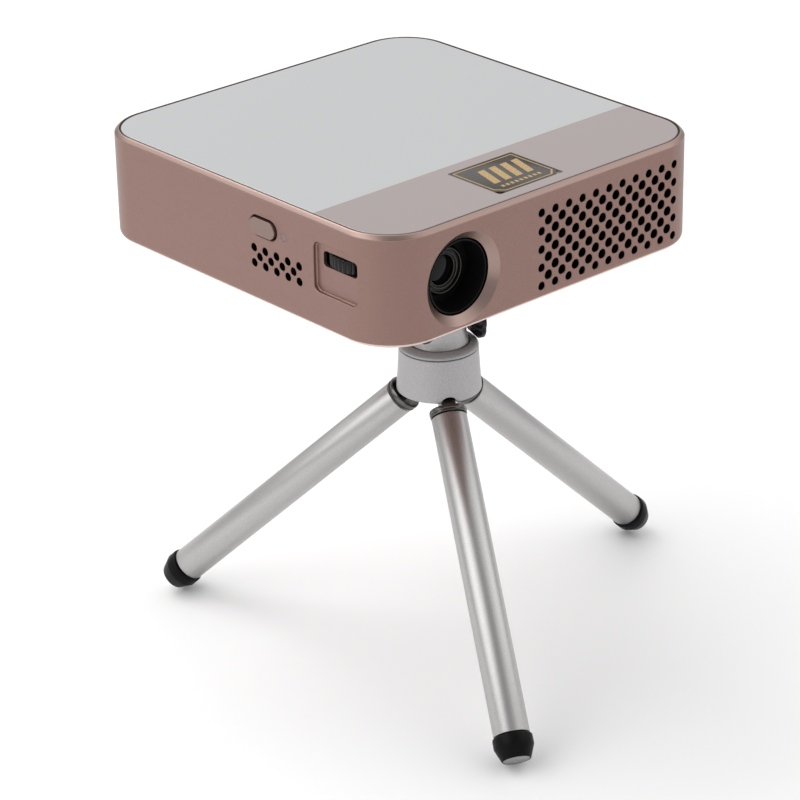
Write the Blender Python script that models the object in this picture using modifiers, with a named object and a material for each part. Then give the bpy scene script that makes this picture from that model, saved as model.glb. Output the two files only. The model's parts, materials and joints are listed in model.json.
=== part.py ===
"""Pocket projector with a rose-gold metal case, standing on a three-legged mini tripod with a ball head.

World frame: metres, +Z up, floor at z = 0. The projector looks towards -Y and its controls are on the -X
side. The projector is placed in the frame of the empty projector_base, the middle of the case's underside,
and the tripod's head in the frame of head_axis, where the tripod's axis meets that same plane.
"""

import math

import bmesh
import bpy
from mathutils import Matrix, Vector

MM = 0.001
GAP = 0.3 * MM
OVERCUT = 1.0 * MM

# Case of the projector
CASE_WIDTH = 126.0 * MM
CASE_DEPTH = 130.2 * MM
CASE_HEIGHT = 33.5 * MM
CASE_CORNER = 16.5 * MM
CASE_WALL = 2.2 * MM
CASE_TOP_CHAMFER = 1.02 * MM
CASE_BOTTOM_ROUND = 2.5 * MM
CASE_LIP_HEIGHT = 3.0 * MM
CASE_LIP_INSET = 4.5 * MM
GLASS_INSET = 1.42 * MM
GLASS_POCKET = 1.5 * MM
DECK_THICKNESS = 1.3 * MM
COVER_THICKNESS = 1.8 * MM

# Lens, in the front wall
LENS_X = -34.6 * MM
LENS_Z = 15.7 * MM
LENS_CONE_RADIUS = 13.5 * MM
LENS_BORE_RADIUS = 11.07 * MM
LENS_CONE_DEPTH = 2.33 * MM
LENS_BOSS_RADIUS = 13.3 * MM
LENS_BOSS_DEPTH = 6.5 * MM
BARREL_RADIUS = 7.0 * MM
BARREL_FRONT = 8.2 * MM
BARREL_END = 41.0 * MM
BARREL_BORE = 5.4 * MM

# Vent holes: two staggered grids of holes
FRONT_VENT_COLUMNS = 21
FRONT_VENT_ROWS = 9
FRONT_VENT_FIRST = Vector((-4.7 * MM, 26.75 * MM))
FRONT_VENT_PITCH = Vector((2.687 * MM, -2.772 * MM))
FRONT_VENT_RADIUS = 1.48 * MM
FRONT_VENT_EDGE_RADIUS = 1.3 * MM
SIDE_VENT_COLUMNS = 9
SIDE_VENT_ROWS = 3
SIDE_VENT_FIRST = Vector((-9.07 * MM, 16.74 * MM))
SIDE_VENT_PITCH = Vector((-2.436 * MM, -2.319 * MM))
SIDE_VENT_RADIUS = 1.3 * MM
VENT_SIDES = 6

# Controls on the left wall, as (y, z)
BUTTON_CENTRE = Vector((-13.45 * MM, 23.85 * MM))
BUTTON_SLOT = Vector((11.7 * MM, 5.95 * MM))
BUTTON_PROUD = 0.75 * MM
LIGHT_CENTRE = Vector((-22.35 * MM, 23.6 * MM))
LIGHT_RADIUS = 1.3 * MM
RECESS_CENTRE = Vector((-43.8 * MM, 19.0 * MM))
RECESS_SIZE = Vector((17.8 * MM, 15.0 * MM))
RECESS_DEPTH = 1.2 * MM
WINDOW_CENTRE = Vector((-44.9 * MM, 21.85 * MM))
WINDOW_SIZE = Vector((13.95 * MM, 4.6 * MM))
WHEEL_RADIUS = 10.6 * MM
WHEEL_THICKNESS = 4.0 * MM
WHEEL_RIBS = 40
WHEEL_PROUD = 0.8 * MM
FOCUS_PIN_OFFSET = 2.0 * MM
FOCUS_PIN_RADIUS = 0.7 * MM

# Openings at the rear and the right, in millimetres
REAR_PORTS = {
    # name: (x, width, height, round)
    "dc": (-38.0, 8.6, 8.6, 4.25),
    "hdmi": (-15.0, 15.6, 6.4, 1.0),
    "usb": (9.0, 15.0, 7.6, 0.6),
    "audio": (31.0, 7.0, 7.0, 3.45),
}
PORT_Z = 11.0
EXHAUST_SLOTS = 12
EXHAUST_PITCH = 4.0

# Blower behind the front vents
FAN_CENTRE = Vector((31.0, -20.0, 0.0))
FAN_BLADES = 11

# Bottom of the case
SCREW_PLACES = ((-14.0, -57.0), (52.0, -54.0), (-52.0, 54.0), (52.0, 54.0))
PAD_PLACES = ((-44.0, -50.0), (44.0, -50.0), (-44.0, 44.0), (44.0, 44.0))
PAD_RADIUS = 4.0 * MM
PAD_SUNK = 0.5 * MM
PAD_PROUD = 0.7 * MM
SCREW_RADIUS = 0.9 * MM
SCREW_HEAD_RADIUS = 1.9 * MM

# Tripod head, as heights under the case
HEAD_X = -0.4 * MM
HEAD_Y = -17.0 * MM
STUD_RADIUS = 3.05 * MM
STUD_LENGTH = 6.2 * MM
PLATFORM_RADIUS = 12.0 * MM
BALL_Z = -23.7 * MM
BALL_RADIUS = 6.0 * MM
STEM_RADIUS = 2.75 * MM
NECK_TOP_Z = -20.2 * MM
NECK_RADIUS = 8.4 * MM
NECK_BASE_RADIUS = 9.2 * MM
NECK_BASE_Z = -30.5 * MM
SPIGOT_RADIUS = 7.6 * MM
SPIGOT_Z = -34.2 * MM
NOTCH_RADIUS = 3.4 * MM
NOTCH_AZIMUTH = math.radians(195.0)
KNOB_AZIMUTH = math.radians(-25.0)
KNOB_RADIUS = 6.1 * MM
KNOB_LOBES = 7
COLLAR_TOP_Z = -28.75 * MM
COLLAR_RADIUS = 12.0 * MM
HUB_TOP_Z = -30.8 * MM
HUB_EDGE_Z = -44.17 * MM
HUB_EDGE_RADIUS = 12.85 * MM
HUB_CORE_Z = -45.3 * MM
HUB_CORE_RADIUS = 9.4 * MM
SLOT_WIDTH = 4.9 * MM

# Legs: the hinge pin's place in the hub, and lengths measured from it down the leg
LEG_AZIMUTHS = (-118.9, 1.1, 121.1)
LEG_SPREAD = math.radians(46.5)
LEG_PIN_REACH = 7.3 * MM
LEG_PIN_Z = -43.4 * MM
LEG_PIN_RADIUS = 0.8 * MM
LEG_OFFSET = -0.68 * MM
TONGUE_HALF = 2.2 * MM
FLANGE_START = 4.9 * MM
FLANGE_END = 7.1 * MM
FLANGE_RADIUS = 5.65 * MM
TUBE_RADIUS = 5.38 * MM
TUBE_BORE = 4.6 * MM
TUBE_END = 105.8 * MM
FOOT_RADIUS = 5.9 * MM
FOOT_END_RADIUS = 4.25 * MM
FOOT_LENGTH = 7.4 * MM

FOOT_TIP = TUBE_END + FOOT_LENGTH
LEG_DROP = FOOT_TIP * math.cos(LEG_SPREAD) - LEG_OFFSET * math.sin(LEG_SPREAD)
FOOT_EDGE_DROP = FOOT_END_RADIUS * math.sin(LEG_SPREAD)
STAND_HEIGHT = -LEG_PIN_Z + LEG_DROP + FOOT_EDGE_DROP
TIP_REACH = LEG_PIN_REACH + FOOT_TIP * math.sin(LEG_SPREAD) + LEG_OFFSET * math.cos(LEG_SPREAD)
FOOT_REACH_X = TIP_REACH + FOOT_END_RADIUS * math.cos(LEG_SPREAD)
FOOT_SLANT_Y = math.sin(math.radians(abs(LEG_AZIMUTHS[0])))
FOOT_REACH_Y = TIP_REACH * FOOT_SLANT_Y + FOOT_END_RADIUS * math.sqrt(
    1.0 - (FOOT_SLANT_Y * math.sin(LEG_SPREAD)) ** 2
)
# The axis stands where the middle of the whole object's footprint is at the origin.
AXIS_X = -(FOOT_REACH_X - HEAD_X - CASE_WIDTH / 2 - BUTTON_PROUD) / 2
AXIS_Y = -(CASE_DEPTH / 2 - HEAD_Y - FOOT_REACH_Y) / 2

QUARTER = math.radians(90.0)
ROUND_STEPS = 24
SMALL_STEPS = 12

FINISHES = {
    # name: (base colour, roughness, metallic)
    "rose_gold": ((0.42, 0.26, 0.22), 0.38, 0.85),
    "white_glass": ((0.72, 0.75, 0.77), 0.08, 0.0),
    "badge": ((0.05, 0.045, 0.04), 0.3, 0.4),
    "black_plastic": ((0.012, 0.012, 0.013), 0.45, 0.0),
    "black_rubber": ((0.015, 0.015, 0.016), 0.7, 0.0),
    "lens_glass": ((0.03, 0.035, 0.05), 0.03, 0.0),
    "satin_aluminium": ((0.6, 0.6, 0.61), 0.32, 1.0),
    "dark_steel": ((0.2, 0.21, 0.22), 0.18, 1.0),
    "steel": ((0.5, 0.5, 0.5), 0.25, 1.0),
    "brass": ((0.7, 0.5, 0.22), 0.3, 1.0),
    "cast_alloy": ((0.35, 0.36, 0.37), 0.5, 0.9),
    "board_green": ((0.02, 0.12, 0.05), 0.5, 0.0),
    "battery_wrap": ((0.05, 0.08, 0.14), 0.4, 0.0),
    "nylon": ((0.6, 0.6, 0.57), 0.5, 0.0),
    "light_pipe": ((0.5, 0.48, 0.5), 0.2, 0.0),
}


# ---------------------------------------------------------------- tools


def clear_scene():
    for old in list(bpy.data.objects):
        bpy.data.objects.remove(old, do_unlink=True)


def new_collection(name):
    made = bpy.data.collections.new(name)
    bpy.context.scene.collection.children.link(made)
    return made


def finish(name):
    """The Principled material of this name, made on first use."""
    if name in bpy.data.materials:
        return bpy.data.materials[name]
    colour, roughness, metallic = FINISHES[name]
    made = bpy.data.materials.new(name)
    made.use_nodes = True
    shader = made.node_tree.nodes["Principled BSDF"]
    shader.inputs["Base Color"].default_value = (*colour, 1.0)
    shader.inputs["Roughness"].default_value = roughness
    shader.inputs["Metallic"].default_value = metallic
    made.diffuse_color = (*colour, 1.0)
    return made


def empty(name, at, turn=(0.0, 0.0, 0.0), parent=None):
    made = bpy.data.objects.new(name, None)
    made.empty_display_size = 10 * MM
    made.location = at
    made.rotation_euler = turn
    made.parent = parent
    PARTS.objects.link(made)
    return made


def add(name, mesh, look, parent, at=(0.0, 0.0, 0.0), turn=(0.0, 0.0, 0.0)):
    """A part if it has a look, and a wire-drawn cutter if it has none."""
    made = bpy.data.objects.new(name, mesh)
    made.location = at
    made.rotation_euler = turn
    made.parent = parent
    if look is None:
        made.hide_render = True
        made.display_type = "WIRE"
        CUTTERS.objects.link(made)
    else:
        mesh.materials.append(finish(look))
        mesh.shade_smooth()
        mesh.set_sharp_from_angle(angle=math.radians(30.0))
        PARTS.objects.link(made)
    return made


def combine(part, tool, operation):
    step = part.modifiers.new(f"{operation.lower()} {tool.name}", "BOOLEAN")
    step.operation = operation
    step.solver = "EXACT"
    step.object = tool


def cut(part, tool):
    combine(part, tool, "DIFFERENCE")


def join(part, tool):
    combine(part, tool, "UNION")


def bevel_edges(shape, chosen, radius, segments):
    bmesh.ops.bevel(
        shape, geom=chosen, offset=radius, segments=segments, profile=0.5, affect="EDGES", clamp_overlap=True
    )


def edges_along(shape, axis):
    """The edges that run along this axis, 0 to 2."""
    found = []
    for edge in shape.edges:
        run = edge.verts[1].co - edge.verts[0].co
        if abs(run[axis]) > 0.99 * run.length:
            found.append(edge)
    return found


def block_mesh(name, size, corner=0.0, axis=2, segments=4):
    """A box about the origin, with the four edges along one axis rounded."""
    shape = bmesh.new()
    bmesh.ops.create_cube(shape, size=1.0)
    bmesh.ops.scale(shape, vec=size, verts=shape.verts)
    if corner:
        bevel_edges(shape, edges_along(shape, axis), corner, segments)
    return to_mesh(shape, name)


def to_mesh(shape, name):
    bmesh.ops.recalc_face_normals(shape, faces=shape.faces)
    mesh = bpy.data.meshes.new(name)
    shape.to_mesh(mesh)
    shape.free()
    return mesh


def block(name, low, high, look, parent, corner=0.0, axis=2, segments=4):
    """A box between two corners of the parent's frame, with its origin in its middle."""
    low, high = Vector(low), Vector(high)
    mesh = block_mesh(name, high - low, corner, axis, segments)
    return add(name, mesh, look, parent, at=(low + high) / 2)


def mm_block(name, low, high, look, parent, corner=0.0, axis=2, segments=4):
    """The same, with the corners and the rounding in millimetres."""
    return block(name, Vector(low) * MM, Vector(high) * MM, look, parent, corner * MM, axis, segments)


def rod_mesh(name, radius, length, sides=ROUND_STEPS):
    """A cylinder on the Z axis, from 0 to its length."""
    shape = bmesh.new()
    bmesh.ops.create_cone(
        shape, cap_ends=True, segments=sides, radius1=radius, radius2=radius, depth=length,
        matrix=Matrix.Translation((0.0, 0.0, length / 2)),
    )
    return to_mesh(shape, name)


def rod(name, radius, length, look, parent, at, turn=(0.0, 0.0, 0.0), sides=ROUND_STEPS):
    return add(name, rod_mesh(name, radius, length, sides), look, parent, at, turn)


def turned(
    name, profile, look, parent, at=(0.0, 0.0, 0.0), turn=(0.0, 0.0, 0.0), steps=ROUND_STEPS, ring=False
):
    """A profile of (radius, height) in millimetres, from the top of the outer side down, turned about Z.

    A ring's profile closes on itself, and any other starts and ends on the axis.
    """
    mesh = bpy.data.meshes.new(name)
    points = [(radius * MM, 0.0, height * MM) for radius, height in profile]
    edges = [(i, i + 1) for i in range(len(points) - 1)]
    if ring:
        edges.append((len(points) - 1, 0))
    mesh.from_pydata(points, edges, [])
    made = add(name, mesh, look, parent, at, turn)
    screw = made.modifiers.new("turn", "SCREW")
    screw.axis = "Z"
    screw.steps = steps
    screw.render_steps = steps
    screw.use_merge_vertices = True
    screw.merge_threshold = 0.00001
    return made


def arc(radius, height, start, stop, count):
    """Points in millimetres on a circle about (0, height), at angles in degrees from straight up."""
    points = []
    for i in range(count):
        angle = math.radians(start + (stop - start) * i / (count - 1))
        points.append((radius * math.sin(angle), height + radius * math.cos(angle)))
    return points


def staggered(columns, rows):
    """The column and row of every hole of a grid with each second hole left out."""
    return [(i, j) for i in range(columns) for j in range(rows) if (i + j) % 2 == 0]


# ---------------------------------------------------------------- projector: case and covers


def case_shell(base):
    shape = bmesh.new()
    bmesh.ops.create_cube(shape, size=1.0)
    bmesh.ops.scale(shape, vec=(CASE_WIDTH, CASE_DEPTH, CASE_HEIGHT), verts=shape.verts)
    bmesh.ops.translate(shape, vec=(0.0, 0.0, CASE_HEIGHT / 2), verts=shape.verts)
    bevel_edges(shape, edges_along(shape, 2), CASE_CORNER, 7)
    for level, radius, segments in ((CASE_HEIGHT, CASE_TOP_CHAMFER, 1), (0.0, CASE_BOTTOM_ROUND, 3)):
        rim = [e for e in shape.edges if all(abs(v.co.z - level) < GAP for v in e.verts)]
        bevel_edges(shape, rim, radius, segments)
    case = add("case", to_mesh(shape, "case"), "rose_gold", base)

    deck_top = CASE_HEIGHT - GLASS_POCKET
    hollow = inset_block(
        "case_hollow", CASE_WALL, CASE_LIP_HEIGHT - GAP, deck_top - DECK_THICKNESS, None, base
    )
    mouth = inset_block("case_mouth", CASE_LIP_INSET, -OVERCUT, CASE_LIP_HEIGHT, None, base)
    pocket = inset_block("case_glass_pocket", GLASS_INSET, deck_top, CASE_HEIGHT + OVERCUT, None, base)
    for tool in (hollow, mouth, pocket):
        cut(case, tool)
    return case


def inset_block(name, inset, low, high, look, base):
    """A plate that follows the case's outline, this far inside it, between two heights."""
    half = Vector((CASE_WIDTH / 2 - inset, CASE_DEPTH / 2 - inset))
    return block(
        name, (-half.x, -half.y, low), (half.x, half.y, high), look, base, CASE_CORNER - inset, segments=7
    )


def front_rod(name, radius, depth_start, depth_end, look, base, at=(LENS_X, LENS_Z), sides=ROUND_STEPS):
    """A cylinder into the front wall, between two depths behind its face."""
    place = (at[0], -CASE_DEPTH / 2 + depth_start, at[1])
    return rod(name, radius, depth_end - depth_start, look, base, place, (-QUARTER, 0.0, 0.0), sides)


def lens_opening(case, base):
    boss = front_rod("case_lens_boss", LENS_BOSS_RADIUS, OVERCUT, LENS_BOSS_DEPTH, None, base, sides=32)
    join(case, boss)
    slope = (LENS_CONE_RADIUS - LENS_BORE_RADIUS) / LENS_CONE_DEPTH
    profile = (
        (0.0, 9.0),
        (LENS_BORE_RADIUS / MM, 9.0),
        (LENS_BORE_RADIUS / MM, LENS_CONE_DEPTH / MM),
        ((LENS_CONE_RADIUS + slope * OVERCUT) / MM, -OVERCUT / MM),
        (0.0, -OVERCUT / MM),
    )
    bore = turned(
        "case_lens_bore", profile, None, base, (LENS_X, -CASE_DEPTH / 2, LENS_Z), (-QUARTER, 0.0, 0.0), 32
    )
    cut(case, bore)


def vent_cutter(name, holes, length, base, at, turn):
    """One cutter with a prism for each (across, up, radius), drilled along its own Z."""
    shape = bmesh.new()
    for across, up, radius in holes:
        bmesh.ops.create_cone(
            shape, cap_ends=True, segments=VENT_SIDES, radius1=radius, radius2=radius, depth=length,
            matrix=Matrix.Translation((across, up, 0.0)),
        )
    return add(name, to_mesh(shape, name), None, base, at, turn)


def vents(case, base):
    front = []
    for i, j in staggered(FRONT_VENT_COLUMNS, FRONT_VENT_ROWS):
        edge = i in (0, FRONT_VENT_COLUMNS - 1) or j in (0, FRONT_VENT_ROWS - 1)
        radius = FRONT_VENT_EDGE_RADIUS if edge else FRONT_VENT_RADIUS
        across = FRONT_VENT_FIRST.x + i * FRONT_VENT_PITCH.x
        front.append((across, FRONT_VENT_FIRST.y + j * FRONT_VENT_PITCH.y, radius))
    wall_middle = (0.0, -CASE_DEPTH / 2 + CASE_WALL / 2, 0.0)
    cut(case, vent_cutter("case_front_vents", front, 3 * CASE_WALL, base, wall_middle, (QUARTER, 0.0, 0.0)))

    side = []
    for i, j in staggered(SIDE_VENT_COLUMNS, SIDE_VENT_ROWS):
        across = SIDE_VENT_FIRST.x + i * SIDE_VENT_PITCH.x
        side.append((-across, SIDE_VENT_FIRST.y + j * SIDE_VENT_PITCH.y, SIDE_VENT_RADIUS))
    wall_middle = (-CASE_WIDTH / 2 + CASE_WALL / 2, 0.0, 0.0)
    turn = (QUARTER, 0.0, -QUARTER)
    cut(case, vent_cutter("case_side_vents", side, 2 * CASE_WALL, base, wall_middle, turn))


def side_block(name, centre, size, depth_start, depth_end, look, base, corner):
    """A rounded block in the left wall, at (y, z), between two depths behind its face."""
    wall = -CASE_WIDTH / 2
    low = (wall + depth_start, centre.x - size.x / 2, centre.y - size.y / 2)
    high = (wall + depth_end, centre.x + size.x / 2, centre.y + size.y / 2)
    return block(name, low, high, look, base, corner, axis=0)


def side_openings(case, base):
    slot_round = BUTTON_SLOT.y / 2 * 0.99
    for name, centre, size, start, end, corner in (
        ("case_button_slot", BUTTON_CENTRE, BUTTON_SLOT, -OVERCUT, 2 * CASE_WALL, slot_round),
        ("case_recess", RECESS_CENTRE, RECESS_SIZE, -OVERCUT, RECESS_DEPTH, 2.0 * MM),
        ("case_window", WINDOW_CENTRE, WINDOW_SIZE, 0.5 * MM, 2 * CASE_WALL, 1.0 * MM),
    ):
        cut(case, side_block(name, centre, size, start, end, None, base, corner))
    at = (-CASE_WIDTH / 2 - OVERCUT, LIGHT_CENTRE.x, LIGHT_CENTRE.y)
    inward = (0.0, QUARTER, 0.0)
    cut(case, rod("case_light_hole", LIGHT_RADIUS, 4 * CASE_WALL, None, base, at, inward, SMALL_STEPS))


def rear_and_right_openings(case, base):
    rear = CASE_DEPTH / MM / 2
    for name, (x, width, height, corner) in REAR_PORTS.items():
        low = (x - width / 2, rear - 4.0, PORT_Z - height / 2)
        high = (x + width / 2, rear + 1.0, PORT_Z + height / 2)
        cut(case, mm_block(f"case_{name}_opening", low, high, None, base, corner, axis=1))
    right = CASE_WIDTH / MM / 2
    slot = mm_block("case_exhaust", (right - 4.0, -24.0, 9.0), (right + 1.0, -22.0, 23.0), None, base)
    row = slot.modifiers.new("row", "ARRAY")
    row.count = EXHAUST_SLOTS
    row.use_relative_offset = False
    row.use_constant_offset = True
    row.constant_offset_displace = (0.0, EXHAUST_PITCH * MM, 0.0)
    cut(case, slot)


def screw_bosses(case, base):
    deck = CASE_HEIGHT - GLASS_POCKET - DECK_THICKNESS / 2
    for number, (x, y) in enumerate(SCREW_PLACES, 1):
        low = COVER_THICKNESS + GAP
        at = (x * MM, y * MM, low)
        join(case, rod(f"case_boss_{number}", 2.6 * MM, deck - low, None, base, at, sides=SMALL_STEPS))
        hole_at = (x * MM, y * MM, 0.0)
        cut(case, rod(f"case_boss_hole_{number}", 1.2 * MM, 12.0 * MM, None, base, hole_at, sides=8))


def focus_boss(case, base):
    """The post under the deck that holds the focus wheel's axle."""
    x, y = focus_axis()
    low = WINDOW_CENTRE.y + WHEEL_THICKNESS / 2 + 0.5 * MM
    deck = CASE_HEIGHT - GLASS_POCKET - DECK_THICKNESS / 2
    join(case, rod("case_focus_boss", 3.0 * MM, deck - low, None, base, (x, y, low), sides=SMALL_STEPS))
    cut(case, rod("case_focus_boss_hole", 1.3 * MM, 5.0 * MM, None, base, (x, y, low - OVERCUT), sides=8))


def focus_axis():
    """Where the focus wheel's axle stands, with the rim just proud of the recess's floor."""
    return -CASE_WIDTH / 2 + RECESS_DEPTH - WHEEL_PROUD + WHEEL_RADIUS, WINDOW_CENTRE.x


def make_case(base):
    case = case_shell(base)
    screw_bosses(case, base)
    focus_boss(case, base)
    lens_opening(case, base)
    vents(case, base)
    side_openings(case, base)
    rear_and_right_openings(case, base)


def make_top(base):
    low = CASE_HEIGHT - GLASS_POCKET + GAP
    glass = inset_block("top_glass", GLASS_INSET + GAP, low, CASE_HEIGHT, "white_glass", base)
    left, right, front, back = -15.0, 9.6, -58.9, -37.7
    top = CASE_HEIGHT / MM
    seat_low = (left - 0.3, front - 0.3, top - 0.6)
    seat_high = (right + 0.3, back + 0.3, top + 1.0)
    cut(glass, mm_block("glass_badge_seat", seat_low, seat_high, None, base))
    badge = mm_block("badge_plate", (left, front, top - 0.3), (right, back, top), "badge", base)
    for side, x in (("left", left), ("right", right)):
        corner = mm_block(f"badge_{side}_corner", (-2.0, -2.0, -1.0), (2.0, 2.0, 1.0), None, base)
        corner.location = (x * MM, front * MM, top * MM)
        corner.rotation_euler = (0.0, 0.0, math.radians(45.0))
        cut(badge, corner)


def make_bottom(base):
    inset = CASE_LIP_INSET + GAP
    cover = inset_block("bottom_cover", inset, 0.0, COVER_THICKNESS, "rose_gold", base)
    nut_at = (HEAD_X, HEAD_Y, COVER_THICKNESS - OVERCUT)
    join(cover, rod("cover_nut_boss", 8.5 * MM, 7.0 * MM, None, base, nut_at))
    cut(cover, rod("cover_nut_hole", 5.8 * MM, 12.0 * MM, None, base, (HEAD_X, HEAD_Y, -OVERCUT)))
    nut_profile = ((3.4, 7.3), (5.5, 7.3), (5.5, 0.0), (3.4, 0.0))
    turned("tripod_nut", nut_profile, "brass", base, (HEAD_X, HEAD_Y, 0.0), ring=True)
    for number, (x, y) in enumerate(SCREW_PLACES, 1):
        at = (x * MM, y * MM, 0.0)
        sink = ((0.0, 3.0), (1.2, 3.0), (1.2, 1.3), (2.2, 0.3), (2.2, -1.0), (0.0, -1.0))
        cut(cover, turned(f"cover_screw_hole_{number}", sink, None, base, at, steps=SMALL_STEPS))
        head = SCREW_HEAD_RADIUS / MM
        shank = SCREW_RADIUS / MM
        profile = ((0.0, 8.0), (shank, 8.0), (shank, 1.3), (head, 0.3), (head, 0.0), (0.0, 0.0))
        screw = turned(f"bottom_screw_{number}", profile, "dark_steel", base, at, steps=SMALL_STEPS)
        for arm, angle in enumerate((0.0, QUARTER), 1):
            drive = mm_block(f"drive_{number}_{arm}", (-1.1, -0.25, -1), (1.1, 0.25, 0.45), None, base)
            drive.location = at
            drive.rotation_euler = (0.0, 0.0, angle)
            cut(screw, drive)
    for number, (x, y) in enumerate(PAD_PLACES, 1):
        seat_at = (x * MM, y * MM, -OVERCUT)
        seat_depth = PAD_SUNK + GAP + OVERCUT
        seat_radius = PAD_RADIUS + 2 * GAP
        seat = rod(f"cover_pad_seat_{number}", seat_radius, seat_depth, None, base, seat_at, sides=SMALL_STEPS)
        cut(cover, seat)
        radius, sunk, proud = PAD_RADIUS / MM, PAD_SUNK / MM, PAD_PROUD / MM
        profile = ((0.0, sunk), (radius, sunk), (radius, 0.3 - proud), (radius - 0.3, -proud), (0.0, -proud))
        turned(f"base_pad_{number}", profile, "black_rubber", base, (x * MM, y * MM, 0.0), steps=SMALL_STEPS)


# ---------------------------------------------------------------- projector: lens and focus


def make_lens(base):
    front = (LENS_X, -CASE_DEPTH / 2, LENS_Z)
    inward = (-QUARTER, 0.0, 0.0)
    sleeve = LENS_BORE_RADIUS / MM - 0.3
    tunnel = (
        (sleeve, 11.0), (sleeve, 2.63), (10.3, 2.63), (9.9, 5.0), (9.6, 9.4), (7.5, 9.4), (7.5, 11.0)
    )
    turned("lens_tunnel", tunnel, "black_plastic", base, front, inward, ring=True)
    barrel_profile = (
        (BARREL_RADIUS / MM, BARREL_END / MM),
        (BARREL_RADIUS / MM, 9.0),
        (6.7, BARREL_FRONT / MM),
        (6.2, BARREL_FRONT / MM),
        (5.85, 8.8),
        (4.37, 9.7),
        (4.37, 10.0),
        (BARREL_BORE / MM, 10.0),
        (BARREL_BORE / MM, BARREL_END / MM),
    )
    barrel = turned("lens_barrel", barrel_profile, "black_plastic", base, front, inward, ring=True)
    wheel_x, wheel_y = focus_axis()
    wheel_x, wheel_y = wheel_x / MM, wheel_y / MM
    arm_low = (wheel_x + 1.1, wheel_y - 2.45, 17.2)
    arm_high = (-40.3, wheel_y + 2.45, 19.2)
    join(barrel, mm_block("barrel_arm", arm_low, arm_high, None, base))
    slot_low = (wheel_x, wheel_y - 0.95, 16.0)
    slot_high = (wheel_x + 3.6, wheel_y + 0.95, 20.0)
    cut(barrel, mm_block("barrel_slot", slot_low, slot_high, None, base))

    front_profile = ((0.0, 13.6), (3.0, 13.4), (5.1, 12.7), (5.1, 11.3), (3.0, 10.6), (0.0, 10.3))
    turned("front_lens", front_profile, "lens_glass", base, front, inward, steps=16)
    rear_profile = ((0.0, 39.2), (3.0, 39.0), (5.1, 38.3), (5.1, 37.2), (3.0, 36.6), (0.0, 36.4))
    turned("rear_lens", rear_profile, "lens_glass", base, front, inward, steps=16)

    mount_profile = (
        (12.0, 44.2), (12.0, 42.2), (9.6, 42.2), (9.6, 31.8), (7.3, 31.8), (7.3, 44.2)
    )
    turned("lens_mount", mount_profile, "cast_alloy", base, front, inward, ring=True)


def make_focus(base):
    x, y = focus_axis()
    z = WINDOW_CENTRE.y
    axis = empty("focus_axis", (x, y, z), parent=base)
    shape = bmesh.new()
    bmesh.ops.create_cone(
        shape, cap_ends=True, segments=2 * WHEEL_RIBS, radius1=WHEEL_RADIUS, radius2=WHEEL_RADIUS,
        depth=WHEEL_THICKNESS,
    )
    groove = 0.45 * MM
    for vert in shape.verts:
        step = round(math.atan2(vert.co.y, vert.co.x) / math.radians(180.0 / WHEEL_RIBS))
        if step % 2:
            vert.co.xy *= (WHEEL_RADIUS - groove) / WHEEL_RADIUS
    wheel = add("focus_wheel", to_mesh(shape, "focus_wheel"), "black_rubber", axis)
    half = WHEEL_THICKNESS / 2
    cut(wheel, rod("wheel_bore", 1.3 * MM, 3 * half, None, axis, (0.0, 0.0, -1.5 * half), sides=SMALL_STEPS))
    pin_low = -half - 2.3 * MM
    pin_at = (FOCUS_PIN_OFFSET, 0.0, pin_low)
    join(wheel, rod("wheel_pin", FOCUS_PIN_RADIUS, 2.8 * MM, None, axis, pin_at, sides=SMALL_STEPS))
    axle_profile = ((0.0, 6.2), (1.0, 6.2), (1.0, -2.3), (1.8, -2.3), (1.8, -2.9), (0.0, -2.9))
    axle = turned("focus_axle", axle_profile, "steel", axis, steps=SMALL_STEPS)
    clear = mm_block("axle_flat", (0.9, -2.0, -4.0), (3.0, 2.0, -2.2), None, axis)
    cut(axle, clear)


# ---------------------------------------------------------------- projector: controls, ports and insides


def make_button(base):
    size = BUTTON_SLOT - Vector((2 * GAP, 2 * GAP))
    corner = size.y / 2 * 0.99
    end = CASE_WALL + 0.6 * MM
    button = side_block("power_button", BUTTON_CENTRE, size, -BUTTON_PROUD, end, "rose_gold", base, corner)
    flange_size = BUTTON_SLOT + Vector((1.6 * MM, 1.6 * MM))
    start = CASE_WALL + GAP
    end = start + 0.8 * MM
    join(button, side_block("button_flange", BUTTON_CENTRE, flange_size, start, end, None, base, 2.0 * MM))
    y, z = BUTTON_CENTRE / MM
    wall = -CASE_WIDTH / MM / 2
    low = (wall + 4.8, y - 3.0, z - 3.0)
    high = (wall + 8.3, y + 3.0, z + 3.0)
    switch = mm_block("power_switch", low, high, "black_plastic", base)
    inward = (0.0, QUARTER, 0.0)
    plunger_at = ((wall + 4.0) * MM, BUTTON_CENTRE.x, BUTTON_CENTRE.y)
    join(switch, rod("switch_plunger", 1.5 * MM, 2.0 * MM, None, base, plunger_at, inward, SMALL_STEPS))
    pipe_at = (-CASE_WIDTH / 2, LIGHT_CENTRE.x, LIGHT_CENTRE.y)
    pipe_radius = LIGHT_RADIUS - GAP
    rod("status_light", pipe_radius, 6.0 * MM, "light_pipe", base, pipe_at, inward, SMALL_STEPS)


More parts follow.
